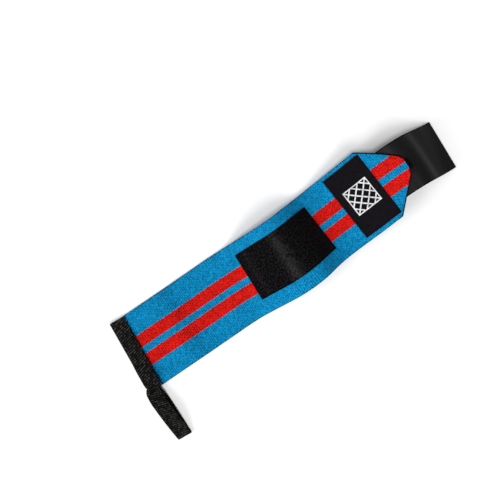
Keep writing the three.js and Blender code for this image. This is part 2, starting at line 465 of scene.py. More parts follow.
def mesh_object(
    name: str,
    places: np.ndarray,
    faces: np.ndarray,
    uv: np.ndarray | None = None,
) -> bpy.types.Object:
    """Makes a smooth object from points and faces.

    Args:
        name: the object's name.
        places: the points, in metres.
        faces: the points of each face.
        uv: for each point its place in the UV map, in metres.

    Returns:
        The new object, linked to the scene.
    """
    mesh = bpy.data.meshes.new(name)
    mesh.from_pydata(places.tolist(), [], faces.tolist())
    if uv is not None:
        layer = mesh.uv_layers.new(name="cloth")
        corners = np.zeros(len(mesh.loops), dtype=np.int32)
        mesh.loops.foreach_get("vertex_index", corners)
        layer.data.foreach_set("uv", uv[corners].ravel())
    mesh.polygons.foreach_set("use_smooth", np.ones(len(mesh.polygons), dtype=bool))
    mesh.update()
    obj = bpy.data.objects.new(name, mesh)
    bpy.context.scene.collection.objects.link(obj)
    return obj


def start_modelling() -> None:
    """Deselects everything, so that the next operator acts on its new shape alone."""
    bpy.ops.object.select_all(action="DESELECT")


def take_shape() -> Shape:
    """Reads the shape being modelled as points and triangles, and removes its object.

    The operators may list the triangles in another order at each run, so they are sorted.

    Returns:
        The points, in the shape's own units, and the triangles.
    """
    bpy.ops.mesh.select_all(action="SELECT")
    bpy.ops.mesh.remove_doubles(threshold=0.0001)
    bpy.ops.mesh.normals_make_consistent(inside=False)
    bpy.ops.mesh.quads_convert_to_tris()
    bpy.ops.object.mode_set(mode="OBJECT")
    shape = bpy.context.active_object
    points = np.array([vertex.co[:] for vertex in shape.data.vertices])
    faces = [list(polygon.vertices) for polygon in shape.data.polygons]
    starts = [face.index(min(face)) for face in faces]
    bpy.data.objects.remove(shape)
    return points, np.array(sorted(face[start:] + face[:start] for face, start in zip(faces, starts)))


def model_stitch(length: float, thread: float) -> Shape:
    """Models one stitch along X: a short plump thread whose ends dive into the cloth.

    Args:
        length: its length.
        thread: its thickness.

    Returns:
        Its points and triangles.
    """
    start_modelling()
    middle = (0.0, 0.0, 0.0)
    bpy.ops.mesh.primitive_uv_sphere_add(segments=6, ring_count=7, radius=0.5, location=middle)
    bpy.ops.object.mode_set(mode="EDIT")
    bpy.ops.mesh.select_all(action="SELECT")
    bpy.ops.transform.rotate(value=math.pi / 2, orient_axis="Y", center_override=middle)
    bpy.ops.transform.resize(value=(length, thread, thread), center_override=middle)
    return take_shape()


def model_bent_thread(radius: float, sides: int, stem: float, crook: float, turn: float) -> Shape:
    """Models a thin thread that rises along Z and bends over towards X.

    Args:
        radius: its radius.
        sides: the number of its sides.
        stem: height of its straight part.
        crook: radius of its bend.
        turn: angle of its bend, in radians.

    Returns:
        Its points and triangles.
    """
    start_modelling()
    foot = (0.0, 0.0, 0.0)
    bpy.ops.mesh.primitive_circle_add(vertices=sides, radius=radius, fill_type="NGON", location=foot)
    bpy.ops.object.mode_set(mode="EDIT")
    bpy.ops.mesh.select_all(action="SELECT")
    bpy.ops.mesh.extrude_region_move(TRANSFORM_OT_translate={"value": (0.0, 0.0, stem)})
    bpy.ops.mesh.spin(steps=4, angle=turn, center=(crook, 0.0, stem), axis=(0.0, 1.0, 0.0))
    return take_shape()


def scatter(
    name: str,
    template: Shape,
    spots: np.ndarray,
    axes: np.ndarray,
    cloth: np.ndarray | None = None,
) -> bpy.types.Object:
    """Joins many copies of one small shape to one object.

    Args:
        name: the object's name.
        template: points and faces of the small shape, in millimetres.
        spots: where each copy lies, in millimetres.
        axes: three directions for each copy, as copies by three by three.
        cloth: where each copy stands on its cloth, along and across it in millimetres.

    Returns:
        The joined object.
    """
    points, faces = template
    uv = None if cloth is None else np.repeat(cloth * MM, len(points), axis=0)
    places = spots[:, None] + np.einsum("pk,ckx->cpx", points, axes)
    shifts = (np.arange(len(spots)) * len(points))[:, None, None]
    copied = (faces[None] + shifts).reshape(-1, faces.shape[1])
    return mesh_object(name, places.reshape(-1, 3) * MM, copied, uv)


class Board:
    """Node tree of one material, with short calls that place and join its nodes."""

    # Sockets of a Mix node for colours
    FIRST_COLOUR = 6
    SECOND_COLOUR = 7
    MIXED_COLOUR = 2

    def __init__(self, name: str) -> None:
        """Starts a material whose shader is the plain one."""
        self.material = bpy.data.materials.new(name)
        self.material.use_nodes = True
        self.tree = self.material.node_tree
        self.shader = self.tree.nodes["Principled BSDF"]

    def node(self, kind: str, **settings: object) -> bpy.types.Node:
        """Adds a node.

        Args:
            kind: the node's type, without its ShaderNode prefix.
            settings: properties of the node.

        Returns:
            The new node.
        """
        added = self.tree.nodes.new("ShaderNode" + kind)
        for key, value in settings.items():
            setattr(added, key, value)
        return added

    def feed(self, target: Socket, value: Socket | float | Sequence[float]) -> None:
        """Links a socket to an input, or sets the input's own value."""
        if isinstance(value, bpy.types.NodeSocket):
            self.tree.links.new(value, target)
        else:
            target.default_value = value

    def math(self, operation: str, first: Socket | float, second: Socket | float = 0.0) -> Socket:
        """Adds a maths node and returns its result."""
        added = self.node("Math", operation=operation)
        self.feed(added.inputs[0], first)
        self.feed(added.inputs[1], second)
        return added.outputs[0]

    def scaled(self, value: Socket, factor: float, offset: float = 0.0) -> Socket:
        """Returns value times factor plus offset."""
        added = self.node("Math", operation="MULTIPLY_ADD")
        self.feed(added.inputs[0], value)
        added.inputs[1].default_value = factor
        added.inputs[2].default_value = offset
        return added.outputs[0]

    def centred(self, value: Socket, amount: float) -> Socket:
        """Turns a value from 0 to 1 into one that lies evenly round 0, amount wide in all."""
        return self.scaled(value, amount, -amount / 2)

    def cloth(self) -> tuple[Socket, Socket]:
        """Returns the lengths along and across the cloth, in millimetres."""
        split = self.node("SeparateXYZ")
        self.feed(split.inputs[0], self.node("UVMap", uv_map="cloth").outputs[0])
        return self.scaled(split.outputs[0], 1 / MM), self.scaled(split.outputs[1], 1 / MM)

    def vector(self, x: Socket | float, y: Socket | float, z: Socket | float = 0.0) -> Socket:
        """Joins three numbers to a vector."""
        added = self.node("CombineXYZ")
        for target, value in zip(added.inputs, (x, y, z)):
            self.feed(target, value)
        return added.outputs[0]

    def noise(self, vector: Socket, scale: float, detail: float = 2.0) -> Socket:
        """Returns a noise value around 0.5."""
        added = self.node("TexNoise")
        self.feed(added.inputs["Vector"], vector)
        added.inputs["Scale"].default_value = scale
        added.inputs["Detail"].default_value = detail
        return added.outputs[0]

    def cell(self, value: Socket, pitch: float) -> Socket:
        """Returns the whole number of the cell in which value lies."""
        return self.math("FLOOR", self.scaled(value, 1 / pitch))

    def chance(self, column: Socket, row: Socket) -> Socket:
        """Returns a number from 0 to 1 that differs from cell to cell."""
        added = self.node("TexWhiteNoise", noise_dimensions="2D")
        self.feed(added.inputs["Vector"], self.vector(column, row))
        return added.outputs[0]

    def total(self, *parts: Socket) -> Socket:
        """Adds up several numbers."""
        added = parts[0]
        for part in parts[1:]:
            added = self.math("ADD", added, part)
        return added

    def ridge(self, value: Socket, pitch: float) -> Socket:
        """Returns rounded ridges from 0 to 1, one for each pitch."""
        return self.math("ABSOLUTE", self.math("SINE", self.scaled(value, math.pi / pitch)))

    def mix(self, share: Socket, low: Colour, high: Colour) -> Socket:
        """Mixes two colours."""
        added = self.node("Mix", data_type="RGBA")
        self.feed(added.inputs[0], share)
        self.feed(added.inputs[self.FIRST_COLOUR], (*low, 1.0))
        self.feed(added.inputs[self.SECOND_COLOUR], (*high, 1.0))
        return added.outputs[self.MIXED_COLOUR]

    def paint(self, colour: Socket | Colour, light: Socket) -> None:
        """Gives the shader a colour that is multiplied by a number."""
        added = self.node("Mix", data_type="RGBA", blend_type="MULTIPLY")
        added.inputs[0].default_value = 1.0
        first = (*colour, 1.0) if isinstance(colour, tuple) else colour
        self.feed(added.inputs[self.FIRST_COLOUR], first)
        self.feed(added.inputs[self.SECOND_COLOUR], self.vector(light, light, light))
        self.feed(self.shader.inputs["Base Color"], added.outputs[self.MIXED_COLOUR])

    def between(self, value: Socket, low: float, high: float) -> Socket:
        """Returns 1 where value lies between low and high, else 0."""
        above = self.math("GREATER_THAN", value, low)
        return self.math("MULTIPLY", above, self.math("LESS_THAN", value, high))

    def mound(self, value: Socket, place: float, reach: float, gain: float) -> Socket:
        """Returns a wide hump, gain high where value is at place and half as high at its reach."""
        away = self.math("POWER", self.scaled(value, 1 / reach, -place / reach), 2.0)
        return self.math("DIVIDE", gain, self.scaled(away, 1.0, 1.0))

    def hump(self, value: Socket, place: float, reach: float, gain: float) -> Socket:
        """Returns a narrow hump, gain high where value is at place and a quarter as high at its reach."""
        slope = self.mound(value, place, reach, 1.0)
        return self.math("MULTIPLY", self.mound(value, place, reach, gain), slope)

    def past(self, value: Socket, width: float, reach: float) -> Socket:
        """Returns 1 where value, counted from the middle of a width, lies within reach of its ends."""
        return self.math("GREATER_THAN", self.math("ABSOLUTE", value), width / 2 - reach)

    def darker_rim(self, light: Socket, length: float, width: float, reach: float, loss: float) -> Socket:
        """Dims a panel's light within reach of its edges.

        Args:
            light: the light to dim.
            length: the panel's length.
            width: its width.
            reach: width of the dimmed rim.
            loss: share of the light that the rim loses.

        Returns:
            The dimmed light.
        """
        along, across = self.cloth()
        ends = self.past(self.scaled(along, 1.0, -length / 2), length, reach)
        rim = self.math("MAXIMUM", self.past(across, width, reach), ends)
        return self.math("MULTIPLY", light, self.scaled(rim, -loss, 1.0))

    def bump(self, height: Socket, distance: float) -> None:
        """Gives the shader small relief, whose height is in millimetres."""
        added = self.node("Bump")
        added.inputs["Distance"].default_value = distance * MM
        self.feed(added.inputs["Height"], height)
        self.feed(self.shader.inputs["Normal"], added.outputs[0])

    def gloss(self, roughness: float, specular: float) -> None:
        """Sets the shader's uniform numbers."""
        self.shader.inputs["Roughness"].default_value = roughness
        self.shader.inputs["Specular IOR Level"].default_value = specular


def srgb(red: int, green: int, blue: int) -> Colour:
    """Turns a screen colour into the linear one that the shader takes."""
    parts = []
    for value in (red, green, blue):
        share = value / 255
        parts.append(share / 12.92 if share <= 0.04045 else ((share + 0.055) / 1.055) ** 2.4)
    return tuple(parts)


@dataclass(frozen=True)
class ElasticFinish:
    """Woven elastic: picks across the band, each a row of bumps, in blue with two red stripes.

    Attributes:
        blue: colour of the ground.
        red: colour of the stripes.
        pick: distance between two picks.
        bump: distance between two bumps of a pick.
        row_shift: how far each pick's bumps are moved on from those of the pick before.
        thread: distance between two threads.
        thread_slant: how far a thread runs on along the band for each unit across it.
        stripes: the two edges of each stripe, across the band.
        stray: how far a stripe's edge strays with the bumps, and from cell to cell.
        edge_shade: width of the painted shade along both edges of the band.
        edge_shade_loss: light that the painted edge shade takes away.
        seam_reach: width of the painted shadow on the band beside the binding's inner edge.
        binding_shadow_loss: light taken away in that painted shadow.
        dip_shade_place: place along the band of a faint band of painted shade across it.
        dip_shade_reach: half its width.
        dip_shade_loss: light taken away in that painted shade.
    """

    blue: Colour = srgb(12, 139, 194)
    red: Colour = srgb(219, 27, 21)
    pick: float = 1.98
    bump: float = 3.05
    row_shift: float = 1.31
    thread: float = 0.5
    thread_slant: float = 0.8
    stripes: tuple[tuple[float, float], ...] = ((2.9, 15.0), (-16.4, -4.1))
    stray: tuple[float, float] = (0.3, 0.5)
    edge_shade: float = 1.0
    edge_shade_loss: float = 0.3
    seam_reach: float = 1.6
    binding_shadow_loss: float = 0.78
    dip_shade_place: float = 65.0
    dip_shade_reach: float = 7.0
    dip_shade_loss: float = 0.16

    def make(self) -> bpy.types.Material:
        """Builds the material."""
        board = Board(Slot.BAND.value)
        along, across = board.cloth()
        row = board.cell(along, self.pick)
        shifted = board.total(across, board.scaled(row, self.row_shift))
        picks = board.ridge(along, self.pick)
        bumps = board.ridge(shifted, self.bump)
        threads = board.ridge(board.total(along, board.scaled(across, self.thread_slant)), self.thread)
        chance = board.chance(board.cell(shifted, self.bump / 2), board.cell(along, self.pick / 2))
        strays = [board.centred(part, stray) for part, stray in zip((bumps, chance), self.stray)]
        step = board.total(across, *strays)
        red = board.total(*[board.between(step, low, high) for low, high in self.stripes])
        cloud = board.noise(board.vector(along, across), scale=0.03)
        fuzz = board.noise(board.vector(along, across), scale=1.3, detail=3.0)
        edge_shade = board.past(across, SIZES.band_width, self.edge_shade)
        # The binding's inner edge, from which the painted shadow beside it is measured
        seam = SIZES.binding_start + SIZES.binding_depth / math.cos(SIZES.skew)
        beyond = board.total(along, board.scaled(across, -math.tan(SIZES.skew), -seam))
        # Each layer brings its own share of the light
        light = board.total(
            board.scaled(picks, 0.42, 0.28),
            board.scaled(bumps, 0.26),
            board.scaled(threads, 0.14),
            board.centred(chance, 0.54),
            board.centred(cloud, 0.2),
            board.centred(fuzz, 0.4),
            board.math("MULTIPLY", red, board.centred(fuzz, 2.2)),
            # Painted shade along both edges of the band
            board.scaled(edge_shade, -self.edge_shade_loss),
            # Painted shade: a faint darker band across the strap, standing in for a shallow dip that faces
            # away from the light
            board.mound(along, self.dip_shade_place, self.dip_shade_reach, -self.dip_shade_loss),
            # Painted shadow on the band beside the binding's inner edge
            board.hump(beyond, 0.0, self.seam_reach, -self.binding_shadow_loss),
        )
        board.paint(board.mix(red, self.blue, self.red), light)
        grain = board.math("MULTIPLY", board.scaled(picks, 0.8, 0.2), board.scaled(bumps, 0.6, 0.4))
        board.bump(board.total(grain, board.scaled(threads, 0.25), board.scaled(chance, 0.3)), distance=0.3)
        board.gloss(roughness=0.8, specular=0.06)
        return board.material


@dataclass(frozen=True)
class TapeFinish:
    """Ribbed black tape: ribs across it, each wound with slanted threads.

    Attributes:
        slot: the record's slot that the material is named for.
        rib: distance between two ribs.
        slant: how far a rib runs on along the tape for each unit across it.
        thread: distance between the threads that wind round a rib.
        strand: width of a stretch of rib that has one lightness.
        thread_slant: how far a thread runs on across the tape for each unit along it.
        colour: its colour.
        darkest: least light in the grooves.
    """

    slot: Slot
    rib: float
    slant: float
    thread: float
    strand: float = 1.25
    thread_slant: float = 0.45
    colour: Colour = srgb(25, 24, 23)
    darkest: float = 0.05

    def make(self) -> bpy.types.Material:
        """Builds the material."""
        board = Board(self.slot.value)
        along, across = board.cloth()
        crossing = board.total(along, board.scaled(across, self.slant))
        ribs = board.ridge(crossing, self.rib)
        threads = board.ridge(board.total(across, board.scaled(along, self.thread_slant)), self.thread)
        chance = board.chance(board.cell(across, self.strand), board.cell(crossing, self.rib))
        fuzz = board.noise(board.vector(along, across), scale=1.4, detail=3.0)
        wound = board.math("MULTIPLY", board.math("POWER", ribs, 3.0), board.scaled(threads, 0.6, 0.4))
        highlight_and_tone = board.scaled(board.math("POWER", chance, 2.0), 7.6, 0.4)
        light = board.math("MULTIPLY", wound, board.total(highlight_and_tone, fuzz))
        board.paint(self.colour, board.math("MAXIMUM", light, self.darkest))
        board.bump(board.total(wound, board.scaled(fuzz, 0.5)), distance=0.2)
        board.gloss(roughness=0.42, specular=0.03)
        return board.material


@dataclass(frozen=True)
class PileFinish:
    """Brushed black pile, with a faint nap in soft streaks, and painted highlights across it where the patch
    bends.

    Attributes:
        colour: its colour.
        painted_highlights: for each painted highlight its place along the patch, its reach and how much
            lighter it is.
        nap_stretch: size of the nap's streaks along the patch, for each unit across it.
        rim: width of the darker rim, where the pile ends.
        rim_loss: share of the light that the rim loses.
        darkest: least light between the tufts.
    """

    colour: Colour = srgb(13, 12, 13)
    painted_highlights: Triples = ((43.0, 6.0, 1.2), (11.0, 4.5, 0.9))
    nap_stretch: float = 0.25
    rim: float = 1.5
    rim_loss: float = 0.65
    darkest: float = 0.05

    def make(self) -> bpy.types.Material:
        """Builds the material."""
        board = Board(Slot.PATCH.value)
        along, across = board.cloth()
        tuft = board.noise(board.vector(along, across), scale=0.6)
        stretched = board.vector(along, board.scaled(across, self.nap_stretch))
        nap = board.noise(stretched, scale=0.5, detail=3.0)
        # Painted highlights across the patch, where its bends catch the light, made grainy by the tufts
        highlight_and_tone = board.total(*[board.hump(along, *bend) for bend in self.painted_highlights])
        # Each layer brings its own share of the light
        light = board.total(
            board.scaled(tuft, 9.0, -3.7),
            board.scaled(nap, 1.0, -0.2),
            board.math("MULTIPLY", highlight_and_tone, board.scaled(tuft, 6.0, -2.0)),
        )
        light = board.darker_rim(light, SIZES.patch_length, SIZES.patch_width, self.rim, self.rim_loss)
        board.paint(self.colour, board.math("MAXIMUM", light, self.darkest))
        board.bump(board.total(tuft, board.scaled(nap, 0.3)), distance=0.2)
        board.gloss(roughness=0.27, specular=0.035)
        return board.material


@dataclass(frozen=True)
class LabelFinish:
    """Fine black satin weave with a white lattice woven into its middle.

    Attributes:
        ground: colour of the weave.
        white: colour of the lattice.
        pick: distance between two rows of the weave.
        thread_share: distance between two of its threads, as a share of that.
        lattice_half: half the lattice's width.
        lattice_pitch: distance between two of its bars, along and across.
        bar_share: half a bar's width as a share of that distance.
        frame: width of the frame round it.
    """

    ground: Colour = srgb(18, 16, 20)
    white: Colour = srgb(222, 222, 222)
    pick: float = 0.36
    thread_share: float = 0.7
    lattice_half: float = 13.2
    lattice_pitch: float = 8.8
    bar_share: float = 0.1
    frame: float = 1.2

    def make(self) -> bpy.types.Material:
        """Builds the material."""
        board = Board(Slot.LABEL.value)
        along, across = board.cloth()
        ahead = board.math("SNAP", board.scaled(along, 1.0, -SIZES.label_length / 2), self.pick)
        aside = board.math("SNAP", across, self.pick)
        mask = self._lattice(board, ahead, aside)
        picks = board.ridge(along, self.pick)
        threads = board.ridge(across, self.pick * self.thread_share)
        cloud = board.noise(board.vector(along, across), scale=0.3, detail=3.0)
        # Each layer brings its own share of the light
        light = board.total(
            board.scaled(picks, 0.3, 0.65),
            board.scaled(threads, 0.2),
            board.centred(cloud, 1.3),
        )
        board.paint(board.mix(mask, self.ground, self.white), light)
        height = board.total(board.scaled(picks, 0.5), mask, board.scaled(threads, 0.3))
        board.bump(height, distance=0.1)
        board.gloss(roughness=0.5, specular=0.035)
        return board.material

    def _lattice(self, board: Board, ahead: Socket, aside: Socket) -> Socket:
        """Draws the lattice in a square frame.

        Args:
            board: the node tree.
            ahead: lengths along the label, from its middle.
            aside: distances across it, from its middle.

        Returns:
            1 on the bars and on the frame, else 0.
        """
        bars = []
        for sum_or_difference in ("ADD", "SUBTRACT"):
            crossing = board.math(sum_or_difference, ahead, aside)
            slant = board.scaled(crossing, 1 / self.lattice_pitch, 0.5)
            part = board.scaled(board.math("FRACT", slant), 1.0, -0.5)
            bars.append(board.math("LESS_THAN", board.math("ABSOLUTE", part), self.bar_share))
        edge = board.math("MAXIMUM", board.math("ABSOLUTE", ahead), board.math("ABSOLUTE", aside))
        frame = board.between(edge, self.lattice_half - self.frame, self.lattice_half)
        inside = board.math("LESS_THAN", edge, self.lattice_half)
        drawn = board.math("MAXIMUM", board.math("MAXIMUM", *bars), frame)
        return board.math("MULTIPLY", drawn, inside)


@dataclass(frozen=True)
class HookTapeFinish:
    """Smooth coated backing of the hook tape, with fine lengthwise lines and painted highlights where it
    bends.

    Attributes:
        colour: its colour.
        line: distance between two of its lengthwise lines.
        pick: distance between two of its picks.
        streak_stretch: how finely the streaks lie along the tab and across it.
        painted_highlights: for each painted highlight its place along the tab, its reach and how much lighter
            it is.
        highlight_slant: how far a painted highlight runs on along the tab for each unit across it.
        rim: width of its darker cut edge.
        rim_loss: share of the light that the rim loses.
    """

    colour: Colour = srgb(24, 23, 24)
    line: float = 0.55
    pick: float = 0.7
    streak_stretch: tuple[float, float] = (2.2, 0.16)
    painted_highlights: Triples = ((66.8, 5.8, 2.7), (43.0, 6.0, 1.0))
    highlight_slant: float = 0.22
    rim: float = 1.2
    rim_loss: float = 0.55

    def make(self) -> bpy.types.Material:
        """Builds the material."""
        board = Board(Slot.TAB.value)
        along, across = board.cloth()
        lines = board.ridge(across, self.line)
        picks = board.ridge(along, self.pick)
        stretched = [board.scaled(part, fine) for part, fine in zip((along, across), self.streak_stretch)]
        streak = board.noise(board.vector(*stretched), scale=0.35, detail=3.0)
        speck = board.noise(board.vector(along, across), scale=1.0, detail=3.0)
        slanted = board.total(along, board.scaled(across, self.highlight_slant))
        # Painted highlights across the tab, where its bend catches the light
        highlight_and_tone = board.total(*[board.hump(slanted, *bend) for bend in self.painted_highlights])
        # Each layer brings its own share of the light
        light = board.total(
            board.scaled(streak, 0.8, 0.4),
            board.scaled(lines, 0.12),
            board.scaled(speck, 1.4, -0.6),
            board.math("MULTIPLY", highlight_and_tone, board.scaled(speck, 1.6, 0.2)),
        )
        light = board.darker_rim(light, SIZES.tab_length, SIZES.tab_width, self.rim, self.rim_loss)
        board.paint(self.colour, light)
        height = board.total(board.scaled(lines, 0.5), board.scaled(picks, 0.3), board.scaled(streak, 1.2))
        board.bump(height, distance=0.04)
        board.gloss(roughness=0.28, specular=0.03)
        return board.material


@dataclass(frozen=True)
class ThreadFinish:
    """Black sewing thread.

    Attributes:
        colour: its colour.
        strands_per_metre: fineness of its strands.
    """

    colour: Colour = srgb(10, 9, 10)
    strands_per_metre: float = 2600.0

    def make(self) -> bpy.types.Material:
        """Builds the material."""
        board = Board("thread")
        strands = board.noise(board.node("TexCoord").outputs["Object"], self.strands_per_metre)
        board.paint(self.colour, board.scaled(strands, 1.0, 0.5))
        board.bump(strands, distance=0.08)
        board.gloss(roughness=0.5, specular=0.05)
        return board.material


@dataclass(frozen=True)
class FloorFinish:
    """Plain pale floor.

    Attributes:
        colour: its colour.
        clouds_per_metre: fineness of its faint clouds.
        unevenness: how far the clouds change its lightness.
    """

    colour: Colour = (0.93, 0.93, 0.93)
    clouds_per_metre: float = 3.0
    unevenness: float = 0.01

    def make(self) -> bpy.types.Material:
        """Builds the material."""
        board = Board("floor")
        clouds = board.noise(board.node("TexCoord").outputs["Object"], self.clouds_per_metre)
        board.paint(self.colour, board.scaled(clouds, self.unevenness, 1 - self.unevenness / 2))
        board.gloss(roughness=0.9, specular=0.1)
        return board.material


def finish_piece(
    obj: bpy.types.Object,
    material: bpy.types.Material,
    nodes: Sequence[str] = (),
) -> None:
    """Dresses a piece and ties it to the wrap.

    Args:
        obj: the piece.
        material: its material.
        nodes: the solids that it stands for.
    """
    obj.data.materials.clear()
    obj.data.materials.append(material)
    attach(obj, "root")
    if nodes:
        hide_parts(*nodes)
    LOG.info("%s: %d faces", obj.name, len(obj.data.polygons))


@dataclass
class ElasticBand:
    """Woven elastic band, slanted at its bound end and tapered at its tip.

    Attributes:
        course: the strap's course.
        shell: its skin.
        fold_slack: room between its end and the binding's fold, beyond the gaps between layers.
        loop_corner: share of the half width cut off inside the binding, beside the thumb loop.
        far_corner: share of the half width cut off inside the binding, at its other end.
        corner_margin: how far inside the binding's edge the band has its full width again.
        lift: how far the free stretch rises off the floor, on the mean.
        lift_start: where the free stretch starts to rise, and where it is free.
        lift_end: how far before the patch it starts to sink, and where it has sunk.
        waves: its slow waves.
        tip_rings: rings of points along the taper.
        taper: outline of the tip, as shares of the taper's length and of the half width.
    """

    course: Course
    shell: Shell = Shell(SIZES.band_thickness, columns=56, step=1.5)
    fold_slack: float = 0.3
    loop_corner: float = 0.13
    far_corner: float = 0.04
    corner_margin: float = 3.0
    lift: float = 0.35
    lift_start: tuple[float, float] = (18.0, 40.0)
    lift_end: tuple[float, float] = (30.0, 8.0)
    waves: Triples = ((41.0, 160.0, 0.4), (67.0, -90.0, 2.1), (29.0, 55.0, 4.0))
    tip_rings: int = 30
    taper: tuple[tuple[float, float], ...] = (
        (0.00, 1.000),
        (0.06, 0.985),
        (0.12, 0.940),
        (0.24, 0.848),
        (0.36, 0.752),
        (0.48, 0.655),
        (0.60, 0.556),
        (0.73, 0.448),
        (0.85, 0.345),
        (0.93, 0.265),
        (0.98, 0.170),
        (1.00, 0.080),
    )

    @property
    def start(self) -> float:
        """Length along the strap at which the band starts, in the binding's fold."""
        return SIZES.binding_start + SIZES.binding_thickness + 2 * SIZES.layer_gap + self.fold_slack

    @property
    def length(self) -> float:
        """The band's own length."""
        return SIZES.band_length - self.start

    def half_width(self, along: np.ndarray) -> np.ndarray:
        """Reads half the band's width at lengths along it."""
        rows = np.array(self.taper)
        share = (along - self.length + SIZES.taper_length) / SIZES.taper_length
        return SIZES.band_width / 2 * np.interp(share, rows[:, 0], rows[:, 1])

    def relief(self, along: np.ndarray, across: np.ndarray) -> np.ndarray:
        """Lifts the free stretch a little, unevenly."""
        end = [SIZES.patch_start - before for before in self.lift_end]
        free = fade(along, *self.lift_start) * (1 - fade(along, *end))
        return free * self.lift * (1 + ripple(along, across, self.waves))

    def build(self, finish: ElasticFinish) -> bpy.types.Object:
        """Makes and dresses the band.

        Args:
            finish: the finish of its cloth.

        Returns:
            The band.
        """
        along, squeeze = self.shell.rows(self.length)
        body = along[along < self.length - SIZES.taper_length]
        tip = self.length - SIZES.taper_length * (1 - np.arange(self.tip_rings) / self.tip_rings)
        rounded = len(Shell.ROUND) + 1
        along = np.concatenate([body, tip, along[-rounded:]])
        squeeze = np.concatenate([squeeze[: len(body)], np.ones(len(tip)), squeeze[-rounded:]])
        across, rise = self.shell.ring(self.half_width(along))
        inside = (1 - fade(along, 0, SIZES.binding_depth - self.corner_margin))[:, None]
        across = across * (1 - inside * np.where(across < 0, self.loop_corner, self.far_corner))
        reach = along[:, None] + np.zeros_like(across)
        slant = math.tan(SIZES.skew) * np.maximum(1 - reach / SIZES.slant_run, 0.0)
        lengths = self.start + reach + across * slant
        middle = SIZES.band_thickness / 2
        above = middle + rise[None] * squeeze[:, None] * middle + self.relief(lengths, across)
        points = self.course.place(lengths, across, above)
        band = skin("band_cloth", points, np.stack([lengths, across], axis=-1))
        finish_piece(band, finish.make(), ["elastic_band"])
        return band


def ribbing(crossing: np.ndarray, pitch: float) -> np.ndarray:
    """Sets the depth of ribbed cloth, from 0 on a rib to -1 in a groove."""
    return np.abs(np.sin(math.pi * crossing / pitch)) - 1


def binding_height(out: np.ndarray) -> np.ndarray:
    """Height of the binding, which swells over the tails of the thumb loop.

    Args:
        out: places along the binding, from its middle towards the loop.

    Returns:
        The height at each place.
    """
    end = SIZES.binding_length / 2 - SIZES.tail_length - SIZES.binding_swell_lead
    plain = 2 * SIZES.binding_thickness + 2 * SIZES.layer_gap + SIZES.band_thickness
    swell = 2 * SIZES.loop_thickness + SIZES.tail_gap + SIZES.layer_gap
    return plain + swell * fade(out, end - SIZES.binding_swell_run, end)


@dataclass
class EndBinding:
    """Ribbed tape folded over the slanted end of the band.

    Attributes:
        end: frame of the bound end.
        step: length of tape between two rings of points.
        leaf_points: points across each leaf.
        fold_steps: steps round the fold.
        rib: distance between two ribs.
        slant: how far a rib runs on along the tape for each unit across it.
        relief: height of the ribs.
        seam_depth: how deep the seam's thread pulls the tape in.
        seam_inset: distance of the seam from the leaf's edge.
        seam_reach: half width of the groove that the seam makes.
        pinch: how far the fold is drawn in at the thumb loop.
        cut: how much of the fold's corner is drawn back there.
        corner_run: length of that corner.
    """

    end: BoundEnd
    step: float = 0.34
    leaf_points: int = 22
    fold_steps: int = 16
    rib: float = 2.35
    slant: float = 0.31
    relief: float = 0.14
    seam_depth: float = 0.16
    seam_inset: float = 2.4
    seam_reach: float = 0.7
    pinch: float = 0.4
    cut: float = 4.6
    corner_run: float = 9.0

    def profile(self) -> tuple[np.ndarray, np.ndarray, np.ndarray]:
        """Sets the folded section.

        Returns:
            For each of its points the place of its arc's centre, its angle and its unrolled length.
        """
        depth, fold = SIZES.binding_depth, SIZES.binding_fold
        rim = SIZES.binding_thickness / 2 * (1 - np.cos(Shell.ROUND))
        inner = np.linspace(depth - SIZES.binding_thickness / 2, fold, self.leaf_points)
        leaf = np.concatenate([depth - rim, inner])
        turn = np.linspace(0.0, math.pi, self.fold_steps + 1)[1:-1]
        centre = np.concatenate([leaf, np.full(len(turn), fold), leaf[::-1]])
        angle = np.concatenate([np.zeros(len(leaf)), turn, np.full(len(leaf), math.pi)])
        rest = depth + fold * (math.pi - 2)
        unrolled = np.concatenate([depth - leaf, depth - fold + turn * fold, rest + leaf[::-1]])
        return centre, angle, unrolled

    def groove(self, from_edge: np.ndarray) -> np.ndarray:
        """Sinks the tape along the seam that lies near one of its edges."""
        return -self.seam_depth * np.exp(-(((from_edge - self.seam_inset) / self.seam_reach) ** 2))

    def build(self, finish: TapeFinish) -> bpy.types.Object:
        """Makes and dresses the binding.

        Args:
            finish: the finish of its tape.

        Returns:
            The binding.
        """
        thickness = SIZES.binding_thickness
        along, squeeze = Shell(thickness, columns=2, step=self.step).rows(SIZES.binding_length)
        centre, angle, unrolled = self.profile()
        rounded = np.sin(Shell.ROUND)
        rim = np.ones(len(centre))
        rim[: len(rounded)] = rounded
        rim[-len(rounded) :] = rounded[::-1]
        half = binding_height(along - SIZES.binding_length / 2)[:, None] / 2
        full = (thickness / 2) * squeeze[:, None] * rim[None]
        crossing = along[:, None] + self.slant * unrolled[None]
        ribs = self.relief * ribbing(crossing, self.rib) * rim[None] * squeeze[:, None]
        seam = self.groove(unrolled) + self.groove(unrolled[-1] - unrolled)
        outer = thickness / 2 - full - ribs - seam[None]
        inner = thickness / 2 + full
        rings = []
        for depth in (outer, inner[:, ::-1]):
            order = slice(None) if depth is outer else slice(None, None, -1)
            middle, turn = centre[order][None], angle[order][None]
            inward = middle - (SIZES.binding_fold - depth) * np.sin(turn)
            up = half - (half - depth) * np.cos(turn)
            out = (along - SIZES.binding_length / 2)[:, None] + np.zeros_like(up)
            near_loop = fade(out, SIZES.binding_length / 2 - self.corner_run, SIZES.binding_length / 2)
            fold_side = near_loop * (1 - inward / SIZES.binding_depth)
            inward = inward + self.pinch * fold_side
            out = out - self.cut * fold_side**2
            rings.append(self.end.place(out, inward + np.zeros_like(up), up))
        across = np.concatenate([unrolled, unrolled[::-1]])
        uv = np.stack(np.broadcast_arrays(along[:, None], across[None]), axis=-1)
        binding = skin("binding_cloth", np.concatenate(rings, axis=1), uv)
        finish_piece(binding, finish.make(), ["end_binding"])
        return binding


